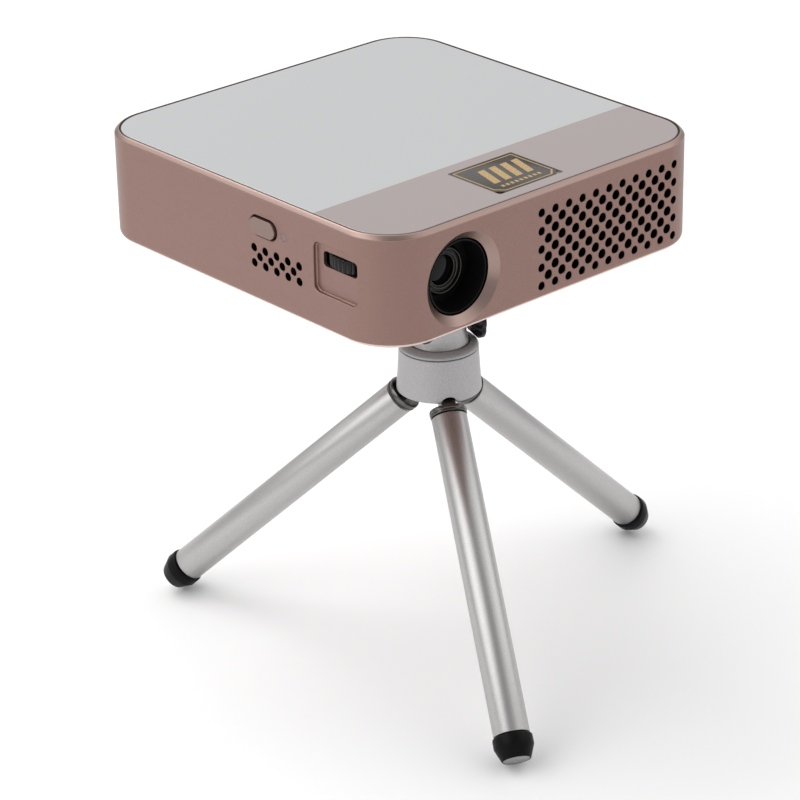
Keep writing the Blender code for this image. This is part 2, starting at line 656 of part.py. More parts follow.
def make_ports(base):
    rear = CASE_DEPTH / MM / 2
    inward = (QUARTER, 0.0, 0.0)
    for name, radius, bore, pin in (("dc", 3.95, 2.7, 0.9), ("audio", 3.15, 1.8, 0.0)):
        x = REAR_PORTS[name][0]
        floor = (pin, 3.0) if pin else (0.0, 3.0)
        core = ((0.0, 9.0), (pin, 9.0), floor) if pin else (floor,)
        profile = (*core, (bore, 3.0), (bore, 10.0), (radius, 10.0), (radius, 0.0), (0.0, 0.0))
        label = "dc_inlet" if name == "dc" else "audio_jack"
        at = (x * MM, (rear - 10.4) * MM, PORT_Z * MM)
        turned(label, profile, "black_plastic", base, at, (-QUARTER, 0.0, 0.0), steps=16)
    for name, label, tongue in (("hdmi", "hdmi_port", 0.5), ("usb", "usb_port", 0.9)):
        x, width, height, _ = REAR_PORTS[name]
        half_w, half_h = width / 2 - 0.3, height / 2 - 0.3
        low = (x - half_w, rear - 12.4, PORT_Z - half_h)
        high = (x + half_w, rear - 0.4, PORT_Z + half_h)
        shell = mm_block(label, low, high, "steel", base)
        wall = 0.7
        mouth_low = (x - half_w + wall, rear - 9.0, PORT_Z - half_h + wall)
        mouth_high = (x + half_w - wall, rear + 1.0, PORT_Z + half_h - wall)
        cut(shell, mm_block(f"{name}_mouth", mouth_low, mouth_high, None, base))
        blade_low = (x - half_w + 2.2, rear - 10.0, PORT_Z - tongue)
        blade_high = (x + half_w - 2.2, rear - 1.6, PORT_Z + tongue)
        join(shell, mm_block(f"{name}_blade", blade_low, blade_high, None, base))


def make_insides(base):
    engine = mm_block("light_engine", (-51, -20.4, 4), (-12, 14, 29.4), "cast_alloy", base, 3.0)
    shaft_at = (LENS_X, -21.0 * MM, LENS_Z)
    cut(engine, rod("engine_port", 5.0 * MM, 6.0 * MM, None, base, shaft_at, (-QUARTER, 0.0, 0.0)))

    sink = mm_block("heat_sink", (-6, -60.0, 4), (47, -43.5, 29), "satin_aluminium", base)
    slot = mm_block("sink_slot", (-3.9, -62, 7), (-1.3, -42, 31), None, base)
    row = slot.modifiers.new("row", "ARRAY")
    row.count = 13
    row.use_relative_offset = False
    row.use_constant_offset = True
    row.constant_offset_displace = (3.95 * MM, 0.0, 0.0)
    cut(sink, slot)

    mm_block("vent_screen", (-8, -62.2, 3.6), (49, -61.4, 28.6), "black_plastic", base)
    make_fan(base)

    board = mm_block("main_board", (-46, 18, 4.2), (46, 60, 5.8), "board_green", base)
    for number, (x, y, width, depth, height) in enumerate(
        ((-20, 34, 16, 16, 2.2), (6, 32, 12, 12, 1.6), (26, 36, 10, 14, 1.6), (-38, 30, 8, 10, 4.0)), 1
    ):
        low = (x - width / 2, y - depth / 2, 5.0)
        high = (x + width / 2, y + depth / 2, 5.8 + height)
        join(board, mm_block(f"board_chip_{number}", low, high, None, base))
    mm_block("battery", (-44, 19, 16), (44, 51, 29), "battery_wrap", base, 3.0)

    speaker = mm_block("speaker", (-60.2, -31, 7), (-52, -8, 19.6), "black_plastic", base, 1.5)
    cone_at = (-61.0 * MM, -19.5 * MM, 13.3 * MM)
    cut(speaker, rod("speaker_cone", 5.5 * MM, 3.0 * MM, None, base, cone_at, (0.0, QUARTER, 0.0)))


def make_fan(base):
    x, y, _ = FAN_CENTRE
    housing = mm_block("fan_housing", (x - 21, y - 21, 5), (x + 21, y + 21, 19), "black_plastic", base, 3.0)
    well_at = (x * MM, y * MM, 6.6 * MM)
    cut(housing, rod("fan_well", 18.2 * MM, 14.0 * MM, None, base, well_at, sides=32))
    outlet = mm_block("fan_outlet", (x - 14, y - 23, 7.5), (x + 14, y - 8, 17), None, base)
    cut(housing, outlet)

    axis = empty("fan_axis", (x * MM, y * MM, 7.2 * MM), parent=base)
    rotor = rod("fan_rotor", 7.5 * MM, 10.0 * MM, "black_plastic", axis, (0.0, 0.0, 0.0))
    for number in range(FAN_BLADES):
        angle = math.radians(360.0 / FAN_BLADES * number)
        blade = mm_block(f"fan_blade_{number + 1}", (-5.4, -0.5, -4.5), (5.4, 0.5, 4.5), None, axis)
        blade.location = Vector((12.0 * math.cos(angle), 12.0 * math.sin(angle), 5.0)) * MM
        blade.rotation_euler = (0.0, 0.0, angle + math.radians(25.0))
        join(rotor, blade)


# ---------------------------------------------------------------- tripod head


def make_head(axis):
    top = PLATFORM_RADIUS / MM
    stud = STUD_RADIUS / MM
    plate_profile = (
        (0.0, STUD_LENGTH / MM),
        (stud - 0.6, STUD_LENGTH / MM),
        (stud, STUD_LENGTH / MM - 0.6),
        (stud, -1.6),
        (top, -1.6),
        (top, -3.6),
        (top - 1.0, -4.6),
        (0.0, -4.6),
    )
    turned("mount_plate", plate_profile, "satin_aluminium", axis)
    pad_profile = ((4.0, -0.3), (top - 0.2, -0.3), (top - 0.2, -1.3), (4.0, -1.3))
    turned("plate_pad", pad_profile, "black_rubber", axis, ring=True)

    ball_z = BALL_Z / MM
    ball = BALL_RADIUS / MM
    stem = STEM_RADIUS / MM
    stem_angle = math.degrees(math.asin(stem / ball))
    below = arc(ball, ball_z, stem_angle, 180.0, 8)[:-1]
    stem_profile = ((0.0, -4.9), (stem, -4.9), *below, (0.0, ball_z - ball))
    turned("ball_stem", stem_profile, "steel", axis, steps=20)


def make_neck(axis):
    ball_z = BALL_Z / MM
    socket = BALL_RADIUS / MM + 0.3
    top = NECK_TOP_Z / MM
    rim_angle = math.degrees(math.acos((top - ball_z) / socket))
    inside = arc(socket, ball_z, 90.0, rim_angle, 4)
    profile = (
        (7.4, top),
        (NECK_RADIUS / MM, top - 0.6),
        (NECK_RADIUS / MM, -26.0),
        (8.8, -27.9),
        (NECK_BASE_RADIUS / MM, COLLAR_TOP_Z / MM),
        (NECK_BASE_RADIUS / MM, NECK_BASE_Z / MM),
        (SPIGOT_RADIUS / MM, NECK_BASE_Z / MM),
        (SPIGOT_RADIUS / MM, SPIGOT_Z / MM),
        (1.9, SPIGOT_Z / MM),
        (1.9, -30.2),
        (socket, -30.2),
        *inside,
    )
    neck = turned("neck", profile, "satin_aluminium", axis, ring=True, steps=28)
    outward = (0.0, QUARTER, NOTCH_AZIMUTH)
    notch_base = (0.0, 0.0, BALL_Z)
    cut(neck, rod("notch_round", NOTCH_RADIUS, 12.0 * MM, None, axis, notch_base, outward))
    slit = block("notch_slit", (0.0, -NOTCH_RADIUS, 0.0), (12.0 * MM, NOTCH_RADIUS, 6.0 * MM), None, axis)
    middle = Matrix.Rotation(NOTCH_AZIMUTH, 3, "Z") @ Vector((6.0 * MM, 0.0, 0.0))
    slit.location = (middle.x, middle.y, BALL_Z + 3.0 * MM)
    slit.rotation_euler = (0.0, 0.0, NOTCH_AZIMUTH)
    cut(neck, slit)
    sideways = (0.0, QUARTER, KNOB_AZIMUTH)
    cut(neck, rod("clamp_way", 1.8 * MM, 12.0 * MM, None, axis, notch_base, sideways, SMALL_STEPS))

    seat = BALL_RADIUS / MM + 0.35
    cup_profile = (*arc(seat, ball_z, 116.0, 148.0, 4), (3.3, -29.9), (6.0, -29.9), (6.0, ball_z - 2.8))
    turned("friction_cup", tuple(reversed(cup_profile)), "nylon", axis, ring=True, steps=16)
    screw_profile = ((0.0, -30.6), (1.6, -30.6), (1.6, -43.5), (2.9, -43.5), (2.9, -45.1), (0.0, -45.1))
    centre_screw = turned("centre_screw", screw_profile, "steel", axis, steps=16)
    drive_at = (0.0, 0.0, -45.6 * MM)
    cut(centre_screw, rod("centre_drive", 1.4 * MM, 1.5 * MM, None, axis, drive_at, sides=6))


def make_clamp(axis):
    knob_axis = empty("clamp_axis", (0.0, 0.0, BALL_Z), (0.0, QUARTER, KNOB_AZIMUTH), axis)
    knob = KNOB_RADIUS / MM
    profile = (
        (0.0, 13.4),
        (knob - 0.8, 13.4),
        (knob, 12.7),
        (knob, 11.9),
        (3.2, 9.3),
        (1.8, 9.3),
        (1.8, 12.4),
        (0.0, 12.4),
    )
    part = turned("clamp_knob", profile, "black_plastic", knob_axis, steps=28)
    shape = bmesh.new()
    for number in range(KNOB_LOBES):
        angle = math.radians(360.0 * (number + 0.5) / KNOB_LOBES)
        place = Matrix.Translation(Vector((7.0 * math.cos(angle), 7.0 * math.sin(angle), 11.5)) * MM)
        bmesh.ops.create_cone(
            shape, cap_ends=True, segments=SMALL_STEPS, radius1=1.6 * MM, radius2=1.6 * MM, depth=8 * MM,
            matrix=place,
        )
    cut(part, add("knob_flutes", to_mesh(shape, "knob_flutes"), None, knob_axis))
    screw_profile = ((0.0, 12.1), (1.5, 12.1), (1.5, 7.0), (1.1, 6.5), (0.0, 6.5))
    turned("clamp_screw", screw_profile, "steel", knob_axis, steps=SMALL_STEPS)


def make_hub(axis):
    collar = (
        (9.8, -28.7), (11.0, -29.3), (11.7, -29.9), (COLLAR_RADIUS / MM, -30.5), (9.5, -30.5), (9.5, -28.8)
    )
    turned("collar_ring", collar, "satin_aluminium", axis, ring=True, steps=28)
    edge = HUB_EDGE_RADIUS / MM
    core = HUB_CORE_RADIUS / MM
    bottom = HUB_CORE_Z / MM
    profile = (
        (11.75, HUB_TOP_Z / MM),
        (12.02, HUB_TOP_Z / MM - 0.3),
        (12.35, -37.5),
        (edge - 0.05, -43.4),
        (edge, -43.8),
        (edge - 0.4, HUB_EDGE_Z / MM),
        (core, HUB_EDGE_Z / MM - 0.2),
        (core, bottom),
        (3.2, bottom),
        (3.2, -43.2),
        (1.9, -43.2),
        (1.9, -34.5),
        (7.9, -34.5),
        (7.9, HUB_TOP_Z / MM),
    )
    hub = turned("hub", profile, "satin_aluminium", axis, ring=True, steps=30)
    for number, azimuth in enumerate(LEG_AZIMUTHS, 1):
        side = empty(f"leg_side_{number}", (0.0, 0.0, 0.0), (0.0, 0.0, math.radians(azimuth)), axis)
        half = SLOT_WIDTH / MM / 2
        cut(hub, mm_block(f"hub_slot_{number}", (4.1, -half, -47.0), (11.6, half, -40.8), None, side))
        arch_at = (9.0 * MM, 0.0, -44.9 * MM)
        cut(hub, rod(f"hub_arch_{number}", 2.75 * MM, 7.0 * MM, None, side, arch_at, (0.0, QUARTER, 0.0), 20))
        pin_end = (LEG_PIN_REACH, 4.6 * MM, LEG_PIN_Z)
        across = (QUARTER, 0.0, 0.0)
        cut(hub, rod(f"hub_pin_hole_{number}", 1.1 * MM, 9.2 * MM, None, side, pin_end, across, SMALL_STEPS))
        pin_end = (LEG_PIN_REACH, 4.2 * MM, LEG_PIN_Z)
        rod(f"leg_pin_{number}", LEG_PIN_RADIUS, 8.4 * MM, "steel", side, pin_end, across, SMALL_STEPS)


# ---------------------------------------------------------------- legs


def make_leg(axis, number, azimuth):
    """One leg, modelled hanging straight down from its hinge pin and opened by its hinge's empty."""
    turn = math.radians(azimuth)
    pin = (LEG_PIN_REACH * math.cos(turn), LEG_PIN_REACH * math.sin(turn), LEG_PIN_Z)
    hinge = empty(f"leg_hinge_{number}", pin, (0.0, -LEG_SPREAD, turn), axis)
    shift = (LEG_OFFSET, 0.0, 0.0)
    flange = FLANGE_RADIUS / MM
    start, end = FLANGE_START / MM, FLANGE_END / MM
    profile = (
        (0.0, -start),
        (flange - 0.5, -start),
        (flange, -start - 0.5),
        (flange, -end + 0.2),
        (flange - 0.3, -end),
        (4.3, -end),
        (4.3, -13.0),
        (0.0, -13.0),
    )
    plug = turned(f"leg_plug_{number}", profile, "dark_steel", hinge, shift, steps=20)
    tongue_low = (-TONGUE_HALF, -TONGUE_HALF, -FLANGE_END + 0.5 * MM)
    tongue_high = (TONGUE_HALF, TONGUE_HALF, TONGUE_HALF)
    tongue = block(f"leg_tongue_{number}", tongue_low, tongue_high, None, hinge, TONGUE_HALF * 0.95, axis=1)
    join(plug, tongue)
    hole_at = (0.0, 4.0 * MM, 0.0)
    across = (QUARTER, 0.0, 0.0)
    cut(plug, rod(f"leg_hole_{number}", 1.1 * MM, 8.0 * MM, None, hinge, hole_at, across, SMALL_STEPS))

    outer, bore = TUBE_RADIUS / MM, TUBE_BORE / MM
    top, low = -end - 0.3, -TUBE_END / MM
    tube = ((outer - 0.25, top), (outer, top - 0.25), (outer, low), (bore, low), (bore, top))
    turned(f"leg_tube_{number}", tube, "satin_aluminium", hinge, shift, ring=True)

    foot = FOOT_RADIUS / MM
    seat = -TUBE_END / MM - 0.3
    tip = -FOOT_TIP / MM
    profile = (
        (0.0, seat + 6.0),
        (4.3, seat + 6.0),
        (4.3, seat),
        (foot - 0.5, seat),
        (foot, seat - 0.6),
        (foot, seat - 3.3),
        (FOOT_END_RADIUS / MM, tip),
        (0.0, tip),
    )
    turned(f"leg_foot_{number}", profile, "black_rubber", hinge, shift, steps=20)


# ---------------------------------------------------------------- assembly

clear_scene()
PARTS = new_collection("home_projector")
CUTTERS = new_collection("cutters")

projector_base = empty("projector_base", (AXIS_X - HEAD_X, AXIS_Y - HEAD_Y, STAND_HEIGHT))
head_axis = empty("head_axis", (AXIS_X, AXIS_Y, STAND_HEIGHT))

make_case(projector_base)
make_top(projector_base)
make_bottom(projector_base)
make_lens(projector_base)
make_focus(projector_base)
make_button(projector_base)
make_ports(projector_base)
make_insides(projector_base)
make_head(head_axis)
make_neck(head_axis)
make_clamp(head_axis)
make_hub(head_axis)
for leg_number, leg_azimuth in enumerate(LEG_AZIMUTHS, 1):
    make_leg(head_axis, leg_number, leg_azimuth)
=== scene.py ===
"""Visual model of the pocket projector on its mini tripod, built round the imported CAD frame.

Lengths in the functions below are in millimetres in the frame of one of the assemblies, and become metres
where an object is made. The case's frame has its origin in the middle of the case's underside. The head's frame
is at the same height, on the tripod's axis. A leg's frame is at its hinge pin, with -Z down the leg. A wall's
frame has X across the wall, Y up from the underside and Z out of the case.
"""

import json
import math

import bmesh
import bpy
from mathutils import Matrix, Vector


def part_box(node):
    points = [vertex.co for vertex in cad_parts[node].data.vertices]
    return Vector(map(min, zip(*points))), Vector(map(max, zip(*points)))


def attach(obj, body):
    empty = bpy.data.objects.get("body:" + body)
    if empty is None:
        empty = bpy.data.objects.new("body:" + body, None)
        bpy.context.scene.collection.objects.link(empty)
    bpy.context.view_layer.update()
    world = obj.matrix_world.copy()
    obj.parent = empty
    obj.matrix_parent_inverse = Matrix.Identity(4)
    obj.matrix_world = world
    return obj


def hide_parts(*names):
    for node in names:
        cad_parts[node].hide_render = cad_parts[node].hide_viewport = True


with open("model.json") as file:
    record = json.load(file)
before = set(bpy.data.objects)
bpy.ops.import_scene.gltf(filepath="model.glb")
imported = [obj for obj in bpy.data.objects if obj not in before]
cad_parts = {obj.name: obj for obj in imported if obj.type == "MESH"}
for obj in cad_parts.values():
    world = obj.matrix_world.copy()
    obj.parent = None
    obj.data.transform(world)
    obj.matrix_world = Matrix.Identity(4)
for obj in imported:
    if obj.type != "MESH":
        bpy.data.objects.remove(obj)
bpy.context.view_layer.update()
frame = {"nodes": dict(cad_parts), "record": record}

MM = 0.001
FINE = 96
CORNER_STEPS = 18
SHARP = 32.0  # degrees: an edge bent more than this stays sharp
ON_AXIS = 1e-4  # the smallest radius, so that a turned piece closes on its axis
HERE = Matrix.Identity(4)

CASE = Vector((126.0, 130.2, 33.5))
CASE_CORNER = 16.5
CASE_LOOKS = ["rose_gold", "rose_polished", "rose_edge_painted_highlight", "black_plastic"]
CHAMFER_FOOT = 32.15
THROUGH = 3.6  # how deep a cut goes that has to leave the wall's inside
GLASS_INSET = 1.98
GLASS_EDGE = 33.22
EDGE_ROUND = 0.28
STRIP_LINE = (-33.25, -33.05)
BADGE = (-2.7, -48.3)
BADGE_REACH = 11.0
SCREWS = ((-14, -57), (52, -54), (-52, 54), (52, 54))
PADS = ((-44, -50), (44, -50), (-44, 44), (44, 44))

# Places on a wall, as (across, up).
LENS = (-34.6, 15.7)
BUTTON = (13.45, 23.85)
LIGHT = (22.35, 23.6)
RECESS = (43.8, 19.0)
WINDOW = (44.9, 21.85)
DC_INLET = (38.0, 11.0)
AUDIO_JACK = (-31.0, 11.0)

WHEEL_RADIUS = 10.6
WHEEL_HALF = 2.0
WHEEL_RIBS = 40
KNOB_LOBES = 7

HEAD_X = -0.4
HEAD_Y = -17.0
BALL_Z = -23.7
BALL_RADIUS = 6.0
SOCKET_RADIUS = 6.3
NOTCH_HALF = 3.4
LEG_AZIMUTHS = (-118.9, 1.1, 121.1)
LEG_SPREAD = math.radians(46.5)
LEG_PIN = (7.3, -43.4)
LEG_OFFSET = -0.68
TUBE_END = 105.8
FOOT_TIP = TUBE_END + 7.4

# The camera at the photograph's angle, in the case's frame, with its focal length for a 36 mm sensor.
CAMERA_LENS = 138.18
CAMERA_AT = (-562.84, -632.26, 348.19)
CAMERA_RIGHT = (0.74220, -0.66997, -0.01657)
CAMERA_AHEAD = (0.59969, 0.67498, -0.42985)

# ---------------------------------------------------------------- frames


def moved(x, y, z=0.0):
    """A move in millimetres."""
    return Matrix.Translation((x * MM, y * MM, z * MM))


case_low, case_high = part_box("case")
ring_low, ring_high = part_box("collar_ring")
BASE = Matrix.Translation(((case_low.x + case_high.x) / 2, (case_low.y + case_high.y) / 2, case_low.z))
HEAD = Matrix.Translation(((ring_low.x + ring_high.x) / 2, (ring_low.y + ring_high.y) / 2, case_low.z))
FRONT = BASE @ moved(0.0, -CASE.y / 2) @ Matrix.Rotation(math.radians(90), 4, "X")
LEFT = BASE @ moved(-CASE.x / 2, 0.0) @ Matrix(((0, 0, -1, 0), (-1, 0, 0, 0), (0, 1, 0, 0), (0, 0, 0, 1)))
REAR = BASE @ moved(0.0, CASE.y / 2) @ Matrix(((-1, 0, 0, 0), (0, 0, 1, 0), (0, 1, 0, 0), (0, 0, 0, 1)))
RIGHT = BASE @ moved(CASE.x / 2, 0.0) @ Matrix(((0, 0, 1, 0), (1, 0, 0, 0), (0, 1, 0, 0), (0, 0, 0, 1)))


def leg_frame(azimuth):
    turn = math.radians(azimuth)
    reach, height = LEG_PIN
    lean = Matrix.Rotation(turn, 4, "Z") @ Matrix.Rotation(-LEG_SPREAD, 4, "Y")
    return HEAD @ moved(reach * math.cos(turn), reach * math.sin(turn), height) @ lean


# ---------------------------------------------------------------- materials


def remapped(tree, value, source, target):
    """A value mapped from one (low, high) span onto another."""
    span = tree.nodes.new("ShaderNodeMapRange")
    for socket, limit in zip(("From Min", "From Max", "To Min", "To Max"), (*source, *target)):
        span.inputs[socket].default_value = limit
    tree.links.new(value, span.inputs["Value"])
    return span.outputs["Result"]


class Look:
    """A Principled material with a few helpers for procedural detail."""

    def __init__(self, name, colour, roughness, metallic=0.0, **sockets):
        self.made = bpy.data.materials.new(name)
        self.made.use_nodes = True
        self.nodes = self.made.node_tree.nodes
        self.links = self.made.node_tree.links
        self.shader = self.nodes["Principled BSDF"]
        self.shader.inputs["Base Color"].default_value = (*colour, 1.0)
        self.shader.inputs["Roughness"].default_value = roughness
        self.shader.inputs["Metallic"].default_value = metallic
        for socket, value in sockets.items():
            self.shader.inputs[socket.replace("_", " ")].default_value = value
        self.made.diffuse_color = (*colour, 1.0)
        self.colour = colour
        self.coords = self.nodes.new("ShaderNodeTexCoord")

    def noise(self, scale, detail=3.0):
        noise = self.nodes.new("ShaderNodeTexNoise")
        noise.inputs["Scale"].default_value = scale
        noise.inputs["Detail"].default_value = detail
        self.links.new(self.coords.outputs["Object"], noise.inputs["Vector"])
        return noise.outputs["Fac"]

    def varied(self, scale, low, high):
        """Noise, most of which lies between 0.3 and 0.7, spread from low to high."""
        return remapped(self.made.node_tree, self.noise(scale), (0.3, 0.7), (low, high))

    def blend(self, factor, first, second):
        """Colours the surface from first to second as the factor goes from 0 to 1."""
        mix = self.nodes.new("ShaderNodeMix")
        mix.data_type = "RGBA"
        mix.inputs["A"].default_value = (*first, 1.0)
        mix.inputs["B"].default_value = (*second, 1.0)
        self.links.new(factor, mix.inputs["Factor"])
        self.links.new(mix.outputs["Result"], self.shader.inputs["Base Color"])
        return self

    def grain(self, scale, depth_mm, strength=0.3):
        """A fine bump."""
        bump = self.nodes.new("ShaderNodeBump")
        bump.inputs["Strength"].default_value = strength
        bump.inputs["Distance"].default_value = depth_mm * MM
        self.links.new(self.noise(scale, 2.0), bump.inputs["Height"])
        self.links.new(bump.outputs["Normal"], self.shader.inputs["Normal"])
        return self

    def mottle(self, scale, amount):
        """Varies the roughness a little over the surface."""
        rough = self.shader.inputs["Roughness"].default_value
        self.links.new(self.varied(scale, rough - amount, rough + amount), self.shader.inputs["Roughness"])
        return self

    def tint(self, scale, amount):
        """Varies the colour's brightness a little over the surface."""
        dark = [c * (1.0 - amount) for c in self.colour]
        light = [c * (1.0 + amount) for c in self.colour]
        return self.blend(self.varied(scale, 0.0, 1.0), dark, light)


def two_tone_glass(name):
    """White-backed glass whose front strip, ahead of a straight line, is backed in rose gold."""
    look = Look(name, (0.40, 0.405, 0.41), 0.14, Coat_Weight=0.4, Coat_Roughness=0.05)
    split = look.nodes.new("ShaderNodeSeparateXYZ")
    look.links.new(look.coords.outputs["Object"], split.inputs["Vector"])
    line = [y * MM for y in STRIP_LINE]
    behind = remapped(look.made.node_tree, split.outputs["Y"], line, (0.0, 1.0))
    return look.blend(behind, (0.262, 0.216, 0.207), look.colour)


ROSE = (0.282, 0.176, 0.152)
LOOKS = {
    "rose_gold": Look("rose_metal", ROSE, 0.42, 0.9)
    .grain(5200.0, 0.02, 0.25)
    .tint(5200.0, 0.10)
    .mottle(900.0, 0.03),
    "rose_polished": Look("rose_polished", (0.345, 0.245, 0.215), 0.31, 1.0).grain(5200.0, 0.01, 0.15),
    "rose_button": Look("rose_button", (0.265, 0.188, 0.164), 0.4, 0.9).grain(5200.0, 0.02, 0.25),
    "white_glass": two_tone_glass("white_glass"),
    "badge": Look("badge_dark", (0.035, 0.028, 0.022), 0.22, 0.3).tint(1500.0, 0.2),
    "gold": Look("badge_gold", (0.55, 0.37, 0.16), 0.28, 1.0).mottle(2000.0, 0.06),
    "black_plastic": Look("black_plastic", (0.004, 0.004, 0.004), 0.42, Specular_IOR_Level=0.12)
    .grain(2600.0, 0.02, 0.3)
    .mottle(700.0, 0.06),
    "gloss_black": Look("gloss_black", (0.005, 0.005, 0.005), 0.2, Specular_IOR_Level=0.3).mottle(500.0, 0.04),
    # Lighter than the lens black: painted glints along the barrel's ring edges.
    "ring_dark": Look("ring_dark", (0.10, 0.09, 0.08), 0.3, 0.7).mottle(500.0, 0.04),
    # A light, less metallic pink: a painted highlight standing in for the white floor's reflection along the
    # case's lower edge.
    "rose_edge_painted_highlight": Look("rose_edge_painted_highlight", (0.80, 0.62, 0.56), 0.35, 0.35).grain(5200.0, 0.01, 0.15),
    "satin_ring": Look("satin_ring", (0.43, 0.44, 0.45), 0.5, 0.4)
    .grain(2800.0, 0.03, 0.35)
    .tint(2800.0, 0.10),
    "lens_black": Look("lens_black", (0.004, 0.004, 0.004), 0.28, Specular_IOR_Level=0.25).mottle(500.0, 0.04),
    "black_rubber": Look("black_rubber", (0.004, 0.004, 0.004), 0.38, Specular_IOR_Level=0.1)
    .grain(1800.0, 0.04, 0.4)
    .tint(400.0, 0.25),
    "grey_rubber": Look("grey_rubber", (0.30, 0.30, 0.30), 0.65).grain(1500.0, 0.04, 0.4).tint(400.0, 0.15),
    "lens_glass": Look("lens_glass", (0.003, 0.003, 0.005), 0.06, Specular_IOR_Level=0.16),
    "satin_aluminium": Look("satin_aluminium", (0.43, 0.42, 0.423), 0.46, 0.9)
    .grain(2800.0, 0.03, 0.35)
    .tint(2800.0, 0.12),
    "tube": Look("drawn_tube", (0.50, 0.49, 0.487), 0.36, 1.0)
    .grain(3600.0, 0.018, 0.3)
    .tint(3600.0, 0.10),
    "dark_steel": Look("dark_steel", (0.15, 0.145, 0.14), 0.2, 1.0).mottle(1200.0, 0.05),
    "bright_steel": Look("bright_steel", (0.72, 0.72, 0.72), 0.16, 1.0).mottle(1200.0, 0.05),
    "steel": Look("plain_steel", (0.42, 0.42, 0.43), 0.28, 1.0).mottle(900.0, 0.06),
    "brass": Look("turned_brass", (0.62, 0.43, 0.18), 0.3, 1.0).mottle(900.0, 0.06),
    "cast_alloy": Look("cast_alloy", (0.22, 0.225, 0.23), 0.5, 0.9).grain(900.0, 0.1, 0.4),
    "board_green": Look("board_green", (0.015, 0.08, 0.035), 0.45).tint(700.0, 0.3),
    "battery_wrap": Look("battery_wrap", (0.04, 0.06, 0.11), 0.4).tint(200.0, 0.1),
    "nylon": Look("nylon", (0.55, 0.55, 0.52), 0.5).tint(500.0, 0.05),
    "light_pipe": Look("light_pipe", (0.225, 0.165, 0.158), 0.4, 0.6).tint(800.0, 0.08),
}


# ---------------------------------------------------------------- shapes


def rounded(half_x, half_y, corner, steps=CORNER_STEPS):
    """The points of a rounded rectangle about the origin, anticlockwise."""
    corner = max(min(corner, half_x, half_y), 0.01)
    points = []
    for quadrant, (sx, sy) in enumerate(((1, 1), (-1, 1), (-1, -1), (1, -1))):
        for i in range(steps + 1):
            angle = math.radians(90.0 * quadrant + 90.0 * i / steps)
            x = sx * (half_x - corner) + corner * math.cos(angle)
            y = sy * (half_y - corner) + corner * math.sin(angle)
            points.append((x, y))
    return points


def angles(steps):
    return [2 * math.pi * i / steps for i in range(steps)]


def circle(radius, steps=FINE):
    return [(radius * math.cos(a), radius * math.sin(a)) for a in angles(steps)]


def arc(cx, cy, radius, start, stop, count, rise=None):
    """Points on an arc, angles in degrees from +X. With a rise, its half height, it is part of an ellipse."""
    points = []
    for i in range(count):
        a = math.radians(start + (stop - start) * i / (count - 1))
        points.append((cx + radius * math.cos(a), cy + (rise or radius) * math.sin(a)))
    return points


def rolled_edge(height):
    """The (inset, height) stations that round off a plate's upper edge, from this height on."""
    return arc(EDGE_ROUND, height, EDGE_ROUND, 162, 90, 5)


def skin(shape, loops, closed=False, shift=(0.0, 0.0)):
    """Adds a skin through loops of (x, y, z) points, wrapped onto itself or capped at both ends."""
    rings = []
    for loop in loops:
        rings.append([shape.verts.new(((x + shift[0]) * MM, (y + shift[1]) * MM, z * MM)) for x, y, z in loop])
    count = len(rings[0])
    pairs = list(zip(rings, rings[1:]))
    if closed:
        pairs.append((rings[-1], rings[0]))
    for lower, upper in pairs:
        for i in range(count):
            j = (i + 1) % count
            shape.faces.new((lower[i], lower[j], upper[j], upper[i]))
    if not closed:
        shape.faces.new(list(reversed(rings[0])))
        shape.faces.new(rings[-1])


def made(name, shape, look, at, angle=SHARP):
    """Turns a shape into an object with one look, or with several in the order of its face indices."""
    bmesh.ops.recalc_face_normals(shape, faces=shape.faces)
    mesh = bpy.data.meshes.new(name)
    shape.to_mesh(mesh)
    shape.free()
    for key in look if isinstance(look, list) else [look]:
        mesh.materials.append(LOOKS[key].made)
    mesh.shade_smooth()
    mesh.set_sharp_from_angle(angle=math.radians(angle))
    piece = bpy.data.objects.new(name, mesh)
    piece.matrix_world = at
    bpy.context.scene.collection.objects.link(piece)
    return piece


def turned_mesh(profile, closed=False, steps=FINE):
    """A (radius, height) profile turned about Z: a ring if closed, and otherwise from the axis to the axis."""
    shape = bmesh.new()
    loops = []
    for radius, z in profile:
        loops.append([(x, y, z) for x, y in circle(max(radius, ON_AXIS), steps)])
    skin(shape, loops, closed)
    return shape


def relieved_mesh(stations, steps, relief):
    """A closed profile of (radius, height, share) turned about Z and cut in by share times relief(angle)."""
    shape = bmesh.new()
    loops = []
    for radius, z, share in stations:
        loop = []
        for a in angles(steps):
            r = radius - share * relief(a)
            loop.append((r * math.cos(a), r * math.sin(a), z))
        loops.append(loop)
    skin(shape, loops, closed=True)
    return shape


def turned(name, profile, look, at, closed=False, steps=FINE, angle=SHARP):
    return made(name, turned_mesh(profile, closed, steps), look, at, angle)


def slab_mesh(half_x, half_y, corner, stations, shift=(0.0, 0.0), steps=8):
    """A rounded rectangle skinned through (inset, height) stations and capped."""
    shape = bmesh.new()
    loops = []
    for inset, z in stations:
        loops.append([(x, y, z) for x, y in rounded(half_x - inset, half_y - inset, corner - inset, steps)])
    skin(shape, loops, shift=shift)
    return shape


def merge(into, other, at):
    """Adds another shape's faces, moved by a matrix, to this one."""
    mesh = bpy.data.meshes.new("merge")
    other.to_mesh(mesh)
    other.free()
    mesh.transform(at)
    into.from_mesh(mesh)
    bpy.data.meshes.remove(mesh)


